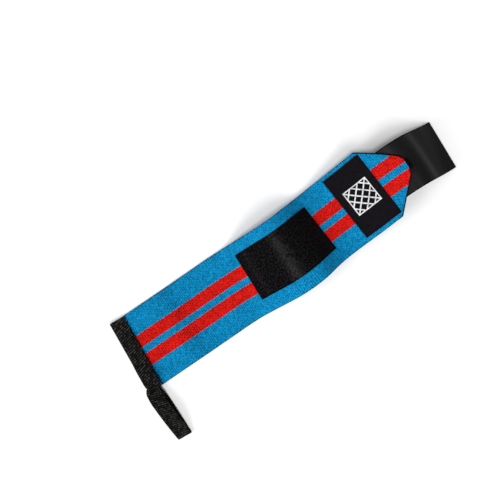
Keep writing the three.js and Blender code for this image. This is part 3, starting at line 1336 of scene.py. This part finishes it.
@dataclass
class ThumbLoop:
    """Narrow ribbed tape, doubled over to a loop that bows open.

    Attributes:
        end: frame of the bound end.
        shell: its skin.
        rib: distance between two ribs.
        slant: how far a rib runs on along the tape for each unit across it.
        relief: height of the ribs.
        samples: points on each stretch of the path.
        path: rows of out, lift, over, bow, side and wide. Out is a share of the reach or, inside
            the binding, of the tails' length. Lift is a share of the lower tail's height, over
            counts the tail beneath the upper one, bow is a share of the loop's bow, and side and
            wide are shares of its width.
    """

    end: BoundEnd
    shell: Shell = Shell(SIZES.loop_thickness, columns=19, step=0.36)
    rib: float = 2.15
    slant: float = 0.25
    relief: float = 0.14
    samples: int = 24
    path: tuple[tuple[float, ...], ...] = (
        (-1.00, 1.0, 0, 0.00, 0.13, 0.82),
        (-0.33, 1.0, 0, 0.00, 0.06, 0.82),
        (0.05, 1.0, 0, 0.00, 0.02, 0.86),
        (0.15, 0.7, 0, 0.00, 0.00, 0.96),
        (0.26, 0.15, 0, 0.00, -0.01, 1.00),
        (0.38, 0.0, 0, 0.00, -0.01, 1.00),
        (0.66, 0.0, 0, 0.00, -0.03, 1.00),
        (0.92, 0.0, 0, 0.00, -0.05, 1.00),
        (0.98, 0.0, 0, 0.03, -0.055, 1.00),
        (0.993, 0.0, 0, 0.135, -0.055, 1.00),
        (0.975, 0.0, 0, 0.25, -0.055, 1.00),
        (0.90, 0.0, 0, 0.39, -0.07, 1.00),
        (0.76, 0.0, 0, 0.70, -0.08, 1.00),
        (0.58, 0.0, 0, 0.95, -0.10, 1.00),
        (0.38, 0.0, 0, 1.00, -0.135, 1.00),
        (0.18, 0.0, 0, 0.85, -0.18, 1.00),
        (0.10, 0.0, 0, 0.74, -0.17, 0.99),
        (0.04, 0.3, 0.3, 0.55, -0.15, 0.98),
        (0.0, 0.85, 0.85, 0.10, -0.11, 0.95),
        (-0.10, 1.0, 1, 0.00, -0.06, 0.90),
        (-0.24, 1.0, 1, 0.00, 0.05, 0.82),
        (-1.00, 1.0, 1, 0.00, 0.13, 0.82),
    )

    def knots(self) -> tuple[np.ndarray, np.ndarray]:
        """Places the path's points.

        Returns:
            The points in the row frame, and half the tape's width at each.
        """
        out, lift, over, bow, side, wide = np.array(self.path).T
        out = out * np.where(out < 0, SIZES.tail_length, SIZES.loop_reach)
        base = SIZES.binding_thickness + 2 * SIZES.layer_gap + SIZES.band_thickness
        up = SIZES.loop_thickness / 2 + lift * base + bow * SIZES.loop_bow
        up = up + over * (SIZES.loop_thickness + SIZES.tail_gap)
        middle = SIZES.binding_depth / 2 - SIZES.loop_inset
        inward = middle + side * SIZES.loop_width + math.sin(SIZES.skew) * np.maximum(out, 0.0)
        knots = self.end.place(SIZES.binding_length / 2 + out, inward, up)
        return knots, wide * SIZES.loop_width / 2

    def build(self, finish: TapeFinish) -> bpy.types.Object:
        """Makes and dresses the loop.

        Args:
            finish: the finish of its tape.

        Returns:
            The loop.
        """
        knots, halves = self.knots()
        line, share = smooth_line(knots, self.samples)
        line[:, 2] = np.maximum(line[:, 2], SIZES.loop_thickness / 2)
        walked = walked_along(line)
        length = walked[-1]
        along, squeeze = self.shell.rows(length)
        centre = on_line(line, walked, along)
        half = np.interp(np.interp(along, walked, share), np.arange(len(halves)), halves)
        heading = np.gradient(centre, along, axis=0)
        up = unit(np.stack([np.zeros(len(along)), heading[:, 2], -heading[:, 1]], axis=1))
        across, rise = self.shell.ring(half)
        ribs = self.relief * ribbing(along[:, None] + self.slant * across, self.rib) * squeeze[:, None]
        above = rise[None] * (squeeze[:, None] * SIZES.loop_thickness / 2 + ribs)
        points = centre[:, None] + across[..., None] * self.end.towards_band + above[..., None] * up[:, None]
        points[..., 2] = np.maximum(points[..., 2], 0.0)
        reach = along[:, None] + np.zeros_like(across)
        loop = skin("loop_cloth", points, np.stack([reach, across], axis=-1))
        finish_piece(loop, finish.make(), ["thumb_loop"])
        LOG.info("thumb loop tape is %.1f mm long", length)
        return loop


def smooth_line(knots: np.ndarray, samples: int) -> tuple[np.ndarray, np.ndarray]:
    """Draws a smooth line through knots that lie unevenly.

    Args:
        knots: the points that it passes.
        samples: points in each stretch.

    Returns:
        The line's points, and the number of the knot at each, with its fraction.
    """
    gaps = np.sqrt(np.linalg.norm(np.diff(knots, axis=0), axis=1))
    first = 2 * knots[0] - knots[1]
    last = 2 * knots[-1] - knots[-2]
    padded = np.vstack([first, knots, last])
    spans = np.concatenate([[gaps[0]], gaps, [gaps[-1]]])
    points, shares = [], []
    for i in range(len(knots) - 1):
        before, here, there, after = padded[i : i + 4]
        back, gap, on = spans[i : i + 3]
        start = ((here - before) / back - (there - before) / (back + gap) + (there - here) / gap) * gap
        end = ((there - here) / gap - (after - here) / (gap + on) + (after - there) / on) * gap
        share = np.arange(samples)[:, None] / samples
        square, cube = share**2, share**3
        lead = (2 * cube - 3 * square + 1) * here + (cube - 2 * square + share) * start
        points.append(lead + (-2 * cube + 3 * square) * there + (cube - square) * end)
        shares.append(i + share[:, 0])
    return np.vstack([*points, knots[-1:]]), np.concatenate([*shares, [len(knots) - 1.0]])


@dataclass
class SewnPanel:
    """Right-angled cloth that is sewn to the band and follows it.

    Attributes:
        course: the strap's course.
        name: the piece's name.
        node: the solid that it stands for.
        slot: the record's slot for it; not used.
        start: length along the strap at which it starts.
        length: its own length.
        width: its width.
        shift: its distance from the band's middle.
        base: height of its underside over the band's underside.
        shell: its skin.
        relief: function that gives small heights on its upper side.
    """

    course: Course
    name: str
    node: str
    slot: Slot
    start: float
    length: float
    width: float
    shift: float
    base: float
    shell: Shell
    relief: Relief

    def build(self, material: bpy.types.Material) -> bpy.types.Object:
        """Makes and dresses the panel.

        Args:
            material: its material.

        Returns:
            The panel.
        """
        along, squeeze = self.shell.rows(self.length)
        across, rise = self.shell.ring(np.full(len(along), self.width / 2))
        reach = along[:, None] + np.zeros_like(across)
        middle = self.shell.thickness / 2
        lifted = self.relief(reach, across) * np.maximum(rise, 0.0) * squeeze[:, None]
        above = self.base + middle + rise[None] * squeeze[:, None] * middle + lifted
        points = self.course.place(self.start + reach, self.shift + across, above)
        panel = skin(self.name, points, np.stack([reach, across], axis=-1))
        finish_piece(panel, material, [self.node])
        return panel


@dataclass
class PilePatch:
    """Soft pile patch on the arch, sewn on with a boxed cross.

    Attributes:
        course: the strap's course.
        thickness: thickness of its cloth, without the pile.
        seam_inset: distance of the seams from its edges.
        seam_depth: how deep a seam pulls the cloth in.
        seam_reach: half width of the groove that a seam makes.
        seam_clear: how far the pile keeps from a seam.
        unevenness: height of its slow waves.
        waves: its slow waves.
        pile_pitch: distance between two loops of the pile.
        pile_shift: how far a loop may stand from its place.
        pile_sunk: how deep a loop's foot is set into the cloth.
        pile_stem: height of a loop's straight part.
        pile_crook: radius of its bend.
        pile_radius: radius of its thread.
        pile_sizes: least and greatest size of a tuft's loops.
        pile_lean: how far the longest lean goes for each unit up.
        least_lean: the least lean as a share of the longest.
        tuft: width of a tuft.
        seed: start of the random numbers.
    """

    course: Course
    thickness: float = 1.0
    seam_inset: float = 2.6
    seam_depth: float = 0.22
    seam_reach: float = 1.0
    seam_clear: float = 0.55
    unevenness: float = 0.05
    waves: Triples = ((11.0, 17.0, 0.3), (7.0, -13.0, 1.9))
    pile_pitch: float = 0.84
    pile_shift: float = 0.3
    pile_sunk: float = 0.1
    pile_stem: float = 0.25
    pile_crook: float = 0.28
    pile_radius: float = 0.05
    pile_sizes: tuple[float, float] = (0.7, 1.15)
    pile_lean: float = 0.5
    least_lean: float = 0.2
    tuft: float = 1.5
    seed: int = 7

    def seams(self) -> list[Seam]:
        """Lists the seams of the boxed cross, along and across the patch."""
        corners = panel_corners(SIZES.patch_length, SIZES.patch_width, self.seam_inset)
        return panel_outline(corners) + [(corners[0], corners[2]), (corners[1], corners[3])]

    def relief(self, along: np.ndarray, across: np.ndarray) -> np.ndarray:
        """Sinks the cloth along its seams and puffs it a little between them."""
        height = np.zeros_like(along)
        for seam in self.seams():
            height = height - self.seam_depth * near_seam(along, across, seam, self.seam_reach)
        return height + self.unevenness * ripple(along, across, self.waves)

    def build(self, finish: PileFinish) -> tuple[bpy.types.Object, bpy.types.Object]:
        """Makes and dresses the patch and its pile.

        Args:
            finish: the finish of its cloth.

        Returns:
            The patch's cloth and its pile.
        """
        panel = SewnPanel(
            self.course,
            name="patch_cloth",
            node="loop_patch",
            slot=Slot.PATCH,
            start=SIZES.patch_start,
            length=SIZES.patch_length,
            width=SIZES.patch_width,
            shift=SIZES.patch_shift,
            base=SIZES.band_thickness + SIZES.layer_gap,
            shell=Shell(self.thickness, columns=50, step=1.0),
            relief=self.relief,
        )
        material = finish.make()
        cloth = panel.build(material)
        pile = self.pile()
        finish_piece(pile, material)
        return cloth, pile

    def pile(self) -> bpy.types.Object:
        """Strews small thread loops over the patch, leaning with the nap."""
        chance = np.random.default_rng(self.seed)
        columns = int(SIZES.patch_width / self.pile_pitch) - 1
        rows = int(SIZES.patch_length / self.pile_pitch) - 1
        along, across = np.meshgrid(
            (np.arange(rows) + 1) * SIZES.patch_length / (rows + 1),
            (np.arange(columns) + 1) * SIZES.patch_width / (columns + 1) - SIZES.patch_width / 2,
            indexing="ij",
        )
        along = (along + chance.uniform(-self.pile_shift, self.pile_shift, along.shape)).ravel()
        across = (across + chance.uniform(-self.pile_shift, self.pile_shift, across.shape)).ravel()
        keep = np.ones(len(along), dtype=bool)
        for seam in self.seams():
            keep &= from_seam(along, across, seam) > self.seam_clear
        along, across = along[keep], across[keep]
        tuft = self.nearest_tuft(along, across, chance)
        turn = chance.uniform(0, 2 * math.pi, tuft.max() + 1)[tuft]
        size = chance.uniform(*self.pile_sizes, tuft.max() + 1)[tuft]
        top = SIZES.band_thickness + SIZES.layer_gap + self.thickness
        height = top + self.relief(along, across) - self.pile_sunk
        length = SIZES.patch_start + along
        middle = SIZES.patch_shift + across
        spots, ahead, side, up = self.course.frame(length, middle, height)
        lean = up + self.pile_lean * ahead * chance.uniform(self.least_lean, 1.0, len(along))[:, None]
        first = ahead * np.cos(turn)[:, None] + side * np.sin(turn)[:, None]
        second = side * np.cos(turn)[:, None] - ahead * np.sin(turn)[:, None]
        axes = np.stack([first * size[:, None], second * size[:, None], lean * size[:, None]], axis=1)
        stem, crook = self.pile_stem, self.pile_crook
        thread = model_bent_thread(self.pile_radius, sides=3, stem=stem, crook=crook, turn=math.pi)
        return scatter("patch_pile", thread, spots, axes, np.stack([along, across], axis=1))

    def nearest_tuft(self, along: np.ndarray, across: np.ndarray, chance: np.random.Generator) -> np.ndarray:
        """Sorts the pile's loops into uneven tufts.

        One row and one column of tufts lie outside each edge, for the loops beside it.

        Args:
            along: lengths along the patch.
            across: distances from its middle.
            chance: source of random numbers.

        Returns:
            The number of each loop's tuft.
        """
        columns = math.ceil(SIZES.patch_width / self.tuft) + 3
        column = np.floor((across + SIZES.patch_width / 2) / self.tuft).astype(int) + 1
        row = np.floor(along / self.tuft).astype(int) + 1
        middles = chance.uniform(0.0, 1.0, (row.max() + 2, columns, 2))
        nearest = np.zeros(len(along), dtype=int)
        least = np.full(len(along), np.inf)
        for row_step in (-1, 0, 1):
            for column_step in (-1, 0, 1):
                near_row, near_column = row + row_step, column + column_step
                middle = middles[near_row, near_column]
                ahead = (near_row - 1 + middle[:, 0]) * self.tuft - along
                aside = (near_column - 1 + middle[:, 1]) * self.tuft - SIZES.patch_width / 2 - across
                distance = np.hypot(ahead, aside)
                closer = distance < least
                least = np.where(closer, distance, least)
                nearest = np.where(closer, near_row * columns + near_column, nearest)
        return nearest


@dataclass
class WovenLabel:
    """Thin woven label across the band, sewn on along its edges.

    Attributes:
        course: the strap's course.
        thickness: its thickness.
        seam_inset: distance of the seams from its edges.
        seam_depth: how deep a seam pulls the cloth in.
        seam_reach: half width of the groove that a seam makes.
        pucker: how much the groove's depth changes from stitch to stitch.
        pucker_pitch: distance between two stitches.
        unevenness: height of its slow waves.
        waves: its slow waves.
    """

    course: Course
    thickness: float = 0.55
    seam_inset: float = 1.6
    seam_depth: float = 0.22
    seam_reach: float = 0.8
    pucker: float = 0.06
    pucker_pitch: float = 2.6
    unevenness: float = 0.18
    waves: Triples = ((23.0, 31.0, 1.2), (-17.0, 26.0, 0.2))

    def seams(self) -> list[Seam]:
        """Lists the seams round the label, along and across it."""
        return panel_outline(panel_corners(SIZES.label_length, SIZES.label_width, self.seam_inset))

    def relief(self, along: np.ndarray, across: np.ndarray) -> np.ndarray:
        """Sinks the label along its seams and puckers it between the stitches."""
        height = self.unevenness * ripple(along, across, self.waves)
        pucker = self.pucker * np.sin(2 * math.pi * (along + across) / self.pucker_pitch)
        for seam in self.seams():
            height = height - near_seam(along, across, seam, self.seam_reach) * (self.seam_depth + pucker)
        return height

    def build(self, finish: LabelFinish) -> bpy.types.Object:
        """Makes and dresses the label.

        Args:
            finish: the finish of its cloth.

        Returns:
            The label.
        """
        panel = SewnPanel(
            self.course,
            name="label_cloth",
            node="label",
            slot=Slot.LABEL,
            start=SIZES.label_start,
            length=SIZES.label_length,
            width=SIZES.label_width,
            shift=SIZES.label_shift,
            base=SIZES.band_thickness + SIZES.layer_gap,
            shell=Shell(self.thickness, columns=84, step=0.8),
            relief=self.relief,
        )
        label = panel.build(finish.make())
        return label


@dataclass
class HookTab:
    """Hook tape under the tip: a smooth backing above, and rows of small hooks below.

    Attributes:
        course: the strap's course.
        thickness: thickness of its backing.
        crease: height of the creases in its free end.
        crease_run: length over which they start.
        waves: the creases.
        hook_stem: height of a hook's straight part.
        hook_crook: radius of its bend.
        hook_turn: angle of its bend, in degrees.
        hook_radius: its own radius.
        hook_pitch: distance between two hooks of a row.
        hook_row: distance between two rows.
        hook_margin: distance of the hooks from the tape's edges.
        floor_clear: least distance of a hook from the floor.
    """

    course: Course
    thickness: float = 0.6
    crease: float = 0.04
    crease_run: float = 8.0
    waves: Triples = ((13.0, 240.0, 0.9), (21.0, -150.0, 2.2))
    hook_stem: float = 0.28
    hook_crook: float = 0.16
    hook_turn: float = 205.0
    hook_radius: float = 0.08
    hook_pitch: float = 1.5
    hook_row: float = 1.7
    hook_margin: float = 2.0
    floor_clear: float = 0.02

    def relief(self, along: np.ndarray, across: np.ndarray) -> np.ndarray:
        """Leaves soft creases across the free end."""
        free = fade(along, SIZES.tab_overlap, SIZES.tab_overlap + self.crease_run)
        return free * self.crease * ripple(along, across, self.waves)

    def build(self, finish: HookTapeFinish) -> tuple[bpy.types.Object, bpy.types.Object]:
        """Makes and dresses the tab and its hooks.

        Args:
            finish: the finish of its backing.

        Returns:
            The tab's backing and its hooks.
        """
        panel = SewnPanel(
            self.course,
            name="tab_cloth",
            node="hook_tab",
            slot=Slot.TAB,
            start=SIZES.tab_start,
            length=SIZES.tab_length,
            width=SIZES.tab_width,
            shift=0.0,
            base=-SIZES.layer_gap - self.thickness,
            shell=Shell(self.thickness, columns=42, step=1.2),
            relief=self.relief,
        )
        material = finish.make()
        cloth = panel.build(material)
        hooks = self.hooks()
        finish_piece(hooks, material)
        return cloth, hooks

    def hooks(self) -> bpy.types.Object:
        """Sets rows of small bent hooks on the underside, where they clear the floor."""
        rows = np.arange(self.hook_margin, SIZES.tab_length - self.hook_margin, self.hook_row)
        half = SIZES.tab_width / 2 - self.hook_margin
        columns = np.arange(-half, half, self.hook_pitch)
        along, across = (grid.ravel() for grid in np.meshgrid(rows, columns, indexing="ij"))
        base = np.full(len(along), -SIZES.layer_gap - self.thickness)
        spots, ahead, side, up = self.course.frame(SIZES.tab_start + along, across, base)
        axes = np.stack([ahead, -side, -up], axis=1)
        cloth = np.stack([along, across], axis=1)
        stem, crook, turn = self.hook_stem, self.hook_crook, math.radians(self.hook_turn)
        depth = stem + crook + self.hook_radius
        clear = spots[:, 2] - depth > self.floor_clear
        hook = model_bent_thread(self.hook_radius, sides=4, stem=stem, crook=crook, turn=turn)
        return scatter("tab_hooks", hook, spots[clear], axes[clear], cloth[clear])


def sew(name: str, rows: Sequence[Stitches], length: float, thread: float) -> bpy.types.Object:
    """Joins rows of stitches to one object.

    Args:
        name: the object's name.
        rows: the spots and directions of each row's stitches.
        length: length of a stitch.
        thread: thickness of the thread.

    Returns:
        The object.
    """
    spots = np.concatenate([row[0] for row in rows])
    axes = np.concatenate([row[1] for row in rows])
    return scatter(name, model_stitch(length, thread), spots, axes)


@dataclass
class Sewing:
    """All stitches that show, in black thread: the straight seams, the oversewn tip and the nose's bar.

    Attributes:
        course: the strap's course.
        end: frame of the bound end.
        band: the band, whose tip is oversewn.
        patch: the patch, for its seams.
        label: the label, for its seams.
        outline_points: points on each half of the tip's outline.
        thread: thickness of a seam's thread.
        pitch: distance between two of its stitches.
        bare_share: share of that distance that the thread lies bare.
        look: half the stretch over which a seam's heading is read.
        patch_sunk: how far the patch's stitches lie below the bottom of their groove.
        label_sunk: how far the label's stitches lie below the bottom of theirs.
        binding_start: distance of the binding's first stitch from its far end.
        binding_stop: distance from the loop's end that its last stitch keeps.
        binding_inset: distance of the binding's seam from its inner edge.
        binding_sunk: how far the binding's stitches lie below its top.
        edge_pitch: distance between two threads round the tip's edge.
        edge_width: length of each of them.
        edge_thread: thickness of each of them.
        edge_margin: length of edge left bare at each shoulder.
        edge_look: stretch over which the edge's heading is read.
        edge_inset: how far inside the edge the upper and lower threads lie.
        edge_depth: how far they lie inside the band's two sides.
        edge_leans: how far a thread turns up for each unit out, on top, beside and below.
        bar_out: how far outside the nose's edge the bar lies.
        bar_span: how far it reaches back and on from the middle of the nose.
        bar_pitch: distance between two of its threads.
        bar_look: stretch over which its heading is read.
        bar_width: length of each of its threads.
        bar_depth: how far it lies below the band's upper side.
        bar_sway: how far its threads rise and fall, and how far they turn aside.
        bar_beat: how fast its height and its heading change along it.
    """

    course: Course
    end: BoundEnd
    band: ElasticBand
    patch: PilePatch
    label: WovenLabel
    outline_points: int = 60
    thread: float = 0.42
    pitch: float = 2.6
    bare_share: float = 0.8
    look: float = 0.2
    patch_sunk: float = 0.03
    label_sunk: float = 0.02
    binding_start: float = 1.5
    binding_stop: float = 1.0
    binding_inset: float = 2.4
    binding_sunk: float = 0.2
    edge_pitch: float = 0.45
    edge_width: float = 1.4
    edge_thread: float = 0.45
    edge_margin: float = 0.6
    edge_look: float = 0.4
    edge_inset: float = 0.4
    edge_depth: float = 0.05
    edge_leans: tuple[float, float, float] = (-0.35, -4.0, 0.35)
    bar_out: float = 0.9
    bar_span: tuple[float, float] = (7.8, 2.2)
    bar_pitch: float = 0.3
    bar_look: float = 0.5
    bar_width: float = 4.6
    bar_depth: float = 0.25
    bar_sway: tuple[float, float] = (0.1, 0.25)
    bar_beat: tuple[float, float] = (9.0, 5.0)

    def along_seam(self, seam: Seam, above: float, start: float, shift: float) -> Stitches:
        """Spaces stitches along a straight seam.

        Args:
            seam: its two ends, along and across the piece that it sews.
            above: height of the cloth there, over the band's underside.
            start: length along the strap at which that piece starts.
            shift: distance of that piece from the band's middle.

        Returns:
            The spots and the three directions of all stitches.
        """
        line = np.array(seam)
        walked = walked_along(line)
        count = max(int(walked[-1] / self.pitch), 1)
        places = (np.arange(count) + 0.5) * walked[-1] / count
        height = np.full(count, above)
        ends = []
        for offset in (-self.look, self.look):
            along = np.interp(places + offset, walked, line[:, 0]) + start
            across = np.interp(places + offset, walked, line[:, 1]) + shift
            ends.append((along, across))
        (along_before, across_before), (along_after, across_after) = ends
        before = self.course.place(along_before, across_before, height)
        after = self.course.place(along_after, across_after, height)
        middle = ((along_before + along_after) / 2, (across_before + across_after) / 2)
        spots, _, _, up = self.course.frame(*middle, height)
        ahead = unit(after - before)
        return spots, np.stack([ahead, np.cross(up, ahead), up], axis=1)

    def panel_rows(self) -> list[Stitches]:
        """Sews the patch's boxed cross and the label's outline, with stitches on top and below."""
        rows = []
        panels = (
            (self.patch, SIZES.patch_start, SIZES.patch_shift, self.patch_sunk),
            (self.label, SIZES.label_start, SIZES.label_shift, self.label_sunk),
        )
        for panel, start, shift, sunk in panels:
            top = SIZES.band_thickness + SIZES.layer_gap + panel.thickness
            for seam in panel.seams():
                for height in (top - panel.seam_depth - sunk, 0.0):
                    rows.append(self.along_seam(seam, height, start, shift))
        return rows

    def tip_outline(self, inset: float) -> np.ndarray:
        """Traces the tip's edge from its +Y shoulder round the nose to its -Y shoulder.

        Args:
            inset: how far inside the edge the line runs.

        Returns:
            Points along and across the band.
        """
        share = np.sin(np.linspace(0.0, math.pi / 2, self.outline_points))
        along = self.band.length - SIZES.taper_length * (1 - share)
        half = self.band.half_width(along)
        upper = np.stack([along, half], axis=1)
        lower = np.stack([along, -half], axis=1)[::-1]
        line = np.vstack([upper, lower])
        way = unit(np.gradient(line, axis=0))
        return line + inset * np.stack([way[:, 1], -way[:, 0]], axis=1)

    def edge_rows(self) -> list[Stitches]:
        """Oversews the tip's edge with close threads on top, on its side and below."""
        line = self.tip_outline(0.0)
        walked = walked_along(line)
        places = np.arange(self.edge_margin, walked[-1] - self.edge_margin, self.edge_pitch)
        spot = on_line(line, walked, places)
        way = unit(on_line(line, walked, places + self.edge_look) - spot)
        inside = np.stack([way[:, 1], -way[:, 0]], axis=1)
        insets = (self.edge_inset, 0.0, self.edge_inset)
        thickness = SIZES.band_thickness
        heights = (thickness - self.edge_depth, thickness / 2, self.edge_depth)
        rows = []
        for inset, height, lean in zip(insets, heights, self.edge_leans):
            along = self.band.start + spot[:, 0] + inset * inside[:, 0]
            across = spot[:, 1] + inset * inside[:, 1]
            above = np.full(len(along), height)
            spots, _, _, up = self.course.frame(along, across, above)
            outside = self.course.place(along - inside[:, 0], across - inside[:, 1], above) - spots
            ahead = unit(outside + up * lean)
            side = np.cross(up, outside)
            rows.append((spots, np.stack([ahead, side, np.cross(ahead, side)], axis=1)))
        return rows

    def binding_row(self) -> Stitches:
        """Sews the binding's upper leaf beside its inner edge."""
        half = SIZES.binding_length / 2
        out = np.arange(self.binding_start - half, half - self.binding_stop, self.pitch)
        inward = np.full(len(out), SIZES.binding_depth - self.binding_inset)
        spots = self.end.place(out, inward, binding_height(out) - self.binding_sunk)
        up = np.tile([0.0, 0.0, 1.0], (len(out), 1))
        ahead = np.tile(self.end.towards_loop, (len(out), 1))
        return spots, np.stack([ahead, np.cross(up, ahead), up], axis=1)

    def nose_bar(self) -> Stitches:
        """Packs a thick bar of threads round the edge of the nose: partly thread, and partly painted shadow,
        as it reaches past the edge where the shade under the nose falls.
        """
        # Partly painted shadow: the bar lies past the nose's edge, a dark thing where the shade under the
        # nose falls
        line = self.tip_outline(-self.bar_out)
        walked = walked_along(line)
        middle = walked[len(walked) // 2]
        back, on = self.bar_span
        rise, turn = self.bar_sway
        rise_beat, turn_beat = self.bar_beat
        places = np.arange(middle - back, middle + on, self.bar_pitch)
        along, across = on_line(line, walked, places).T
        along_after, across_after = on_line(line, walked, places + self.bar_look).T
        height = SIZES.band_thickness - self.bar_depth + rise * np.sin(places * rise_beat)
        spots, _, _, up = self.course.frame(self.band.start + along, across, height)
        ahead = self.course.place(self.band.start + along_after, across_after, height) - spots
        out = unit(unit(np.cross(up, ahead)) + turn * np.sin(places * turn_beat)[:, None] * ahead)
        return spots, np.stack([out, np.cross(up, out), up], axis=1)

    def build(self, finish: ThreadFinish) -> list[bpy.types.Object]:
        """Makes and dresses all stitches.

        Args:
            finish: the finish of the thread.

        Returns:
            The seams' threads, the tip's edge and the bar at the nose.
        """
        material = finish.make()
        seams = [*self.panel_rows(), self.binding_row()]
        pieces = [
            sew("seam_threads", seams, self.pitch * self.bare_share, self.thread),
            sew("edge_threads", self.edge_rows(), self.edge_width, self.edge_thread),
            sew("nose_bar", [self.nose_bar()], self.bar_width, self.edge_thread),
        ]
        for piece in pieces:
            finish_piece(piece, material)
        return pieces


@dataclass(frozen=True)
class Studio:
    """Camera above the floor, turned as in the photograph, with a pale floor and soft light.

    Attributes:
        height: height of the camera.
        view_width: width of the floor that it sees.
        turn: its turn about Z, in degrees.
        middle_along: place of the view's middle along the strap.
        middle_across: its place across the strap.
        sensor: width of the camera's sensor.
        farthest: farthest distance that the camera sees, in metres.
        floor_size: side of the floor, in metres.
        floor_drop: distance of the floor below the wrap, in metres.
        world_light: strength of the light from all round.
    """

    height: float = 600.0
    view_width: float = 464.6
    turn: float = -33.5
    middle_along: float = 152.9
    middle_across: float = 35.9
    sensor: float = 36.0
    farthest: float = 20.0
    floor_size: float = 8.0
    floor_drop: float = 0.0001
    world_light: float = 0.35

    def camera(self, origin: Vector) -> None:
        """Sets the camera straight above the middle of the view."""
        data = bpy.data.cameras.new("camera")
        data.sensor_width = self.sensor
        data.lens = self.sensor * self.height / self.view_width
        data.clip_end = self.farthest
        camera = bpy.data.objects.new("camera", data)
        place = Vector((self.middle_along, self.middle_across, self.height)) + origin
        camera.location = place * MM
        camera.rotation_euler = (0.0, 0.0, math.radians(self.turn))
        bpy.context.scene.collection.objects.link(camera)
        bpy.context.scene.camera = camera

    def floor(self) -> bpy.types.Object:
        """Adds the floor, just under the wrap."""
        start_modelling()
        bpy.ops.mesh.primitive_plane_add(size=self.floor_size, location=(0.0, 0.0, -self.floor_drop))
        floor = bpy.context.active_object
        floor.name = "floor"
        floor.data.materials.append(FloorFinish().make())
        return floor

    @staticmethod
    def lamp(
        name: str,
        towards: tuple[float, float, float],
        away: float,
        size: float,
        power: float,
    ) -> bpy.types.Object:
        """Hangs a square soft light that faces the wrap.

        Args:
            name: the lamp's name.
            towards: direction from the wrap to the lamp.
            away: its distance, in metres.
            size: its side, in metres.
            power: its power, in watts.

        Returns:
            The lamp.
        """
        place = Vector(towards).normalized() * away
        data = bpy.data.lights.new(name, "AREA")
        data.size = size
        data.energy = power
        lamp = bpy.data.objects.new(name, data)
        lamp.location = place
        lamp.rotation_euler = (-place).to_track_quat("-Z", "Y").to_euler()
        bpy.context.scene.collection.objects.link(lamp)
        return lamp

    def light(self) -> None:
        """Lights the wrap softly from beside it and from above, with a weaker light from all round."""
        left = self.lamp("left_softbox", (-1.0, 0.05, 0.65), away=6.0, size=2.8, power=184.0)
        left.visible_glossy = False
        self.lamp("right_softbox", (-0.23, -0.98, 1.6), away=6.0, size=2.4, power=131.0)
        self.lamp("top_softbox", (-0.22, -0.12, 1.0), away=5.2, size=0.9, power=72.0)
        world = bpy.data.worlds.new("studio")
        world.use_nodes = True
        background = world.node_tree.nodes["Background"]
        background.inputs["Color"].default_value = (1.0, 1.0, 1.0, 1.0)
        background.inputs["Strength"].default_value = self.world_light
        bpy.context.scene.world = world
        bpy.context.scene.view_settings.view_transform = "Standard"


def main() -> None:
    """Builds the wrap piece by piece, then its studio."""
    logging.basicConfig(level=logging.INFO, format="%(name)s: %(message)s")
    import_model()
    origin = course_origin()
    studio = Studio()
    studio.camera(origin)
    course = Course(origin)
    end = BoundEnd(origin)
    band = ElasticBand(course)
    patch = PilePatch(course)
    label = WovenLabel(course)
    band.build(ElasticFinish())
    binding = EndBinding(end)
    binding.build(TapeFinish(Slot.BINDING, binding.rib, binding.slant, thread=0.7))
    loop = ThumbLoop(end)
    loop.build(TapeFinish(Slot.LOOP, loop.rib, loop.slant, thread=0.45))
    patch.build(PileFinish())
    label.build(LabelFinish())
    HookTab(course).build(HookTapeFinish())
    Sewing(course, end, band, patch, label).build(ThreadFinish())
    studio.floor()
    studio.light()


if __name__ == "__main__":
    main()
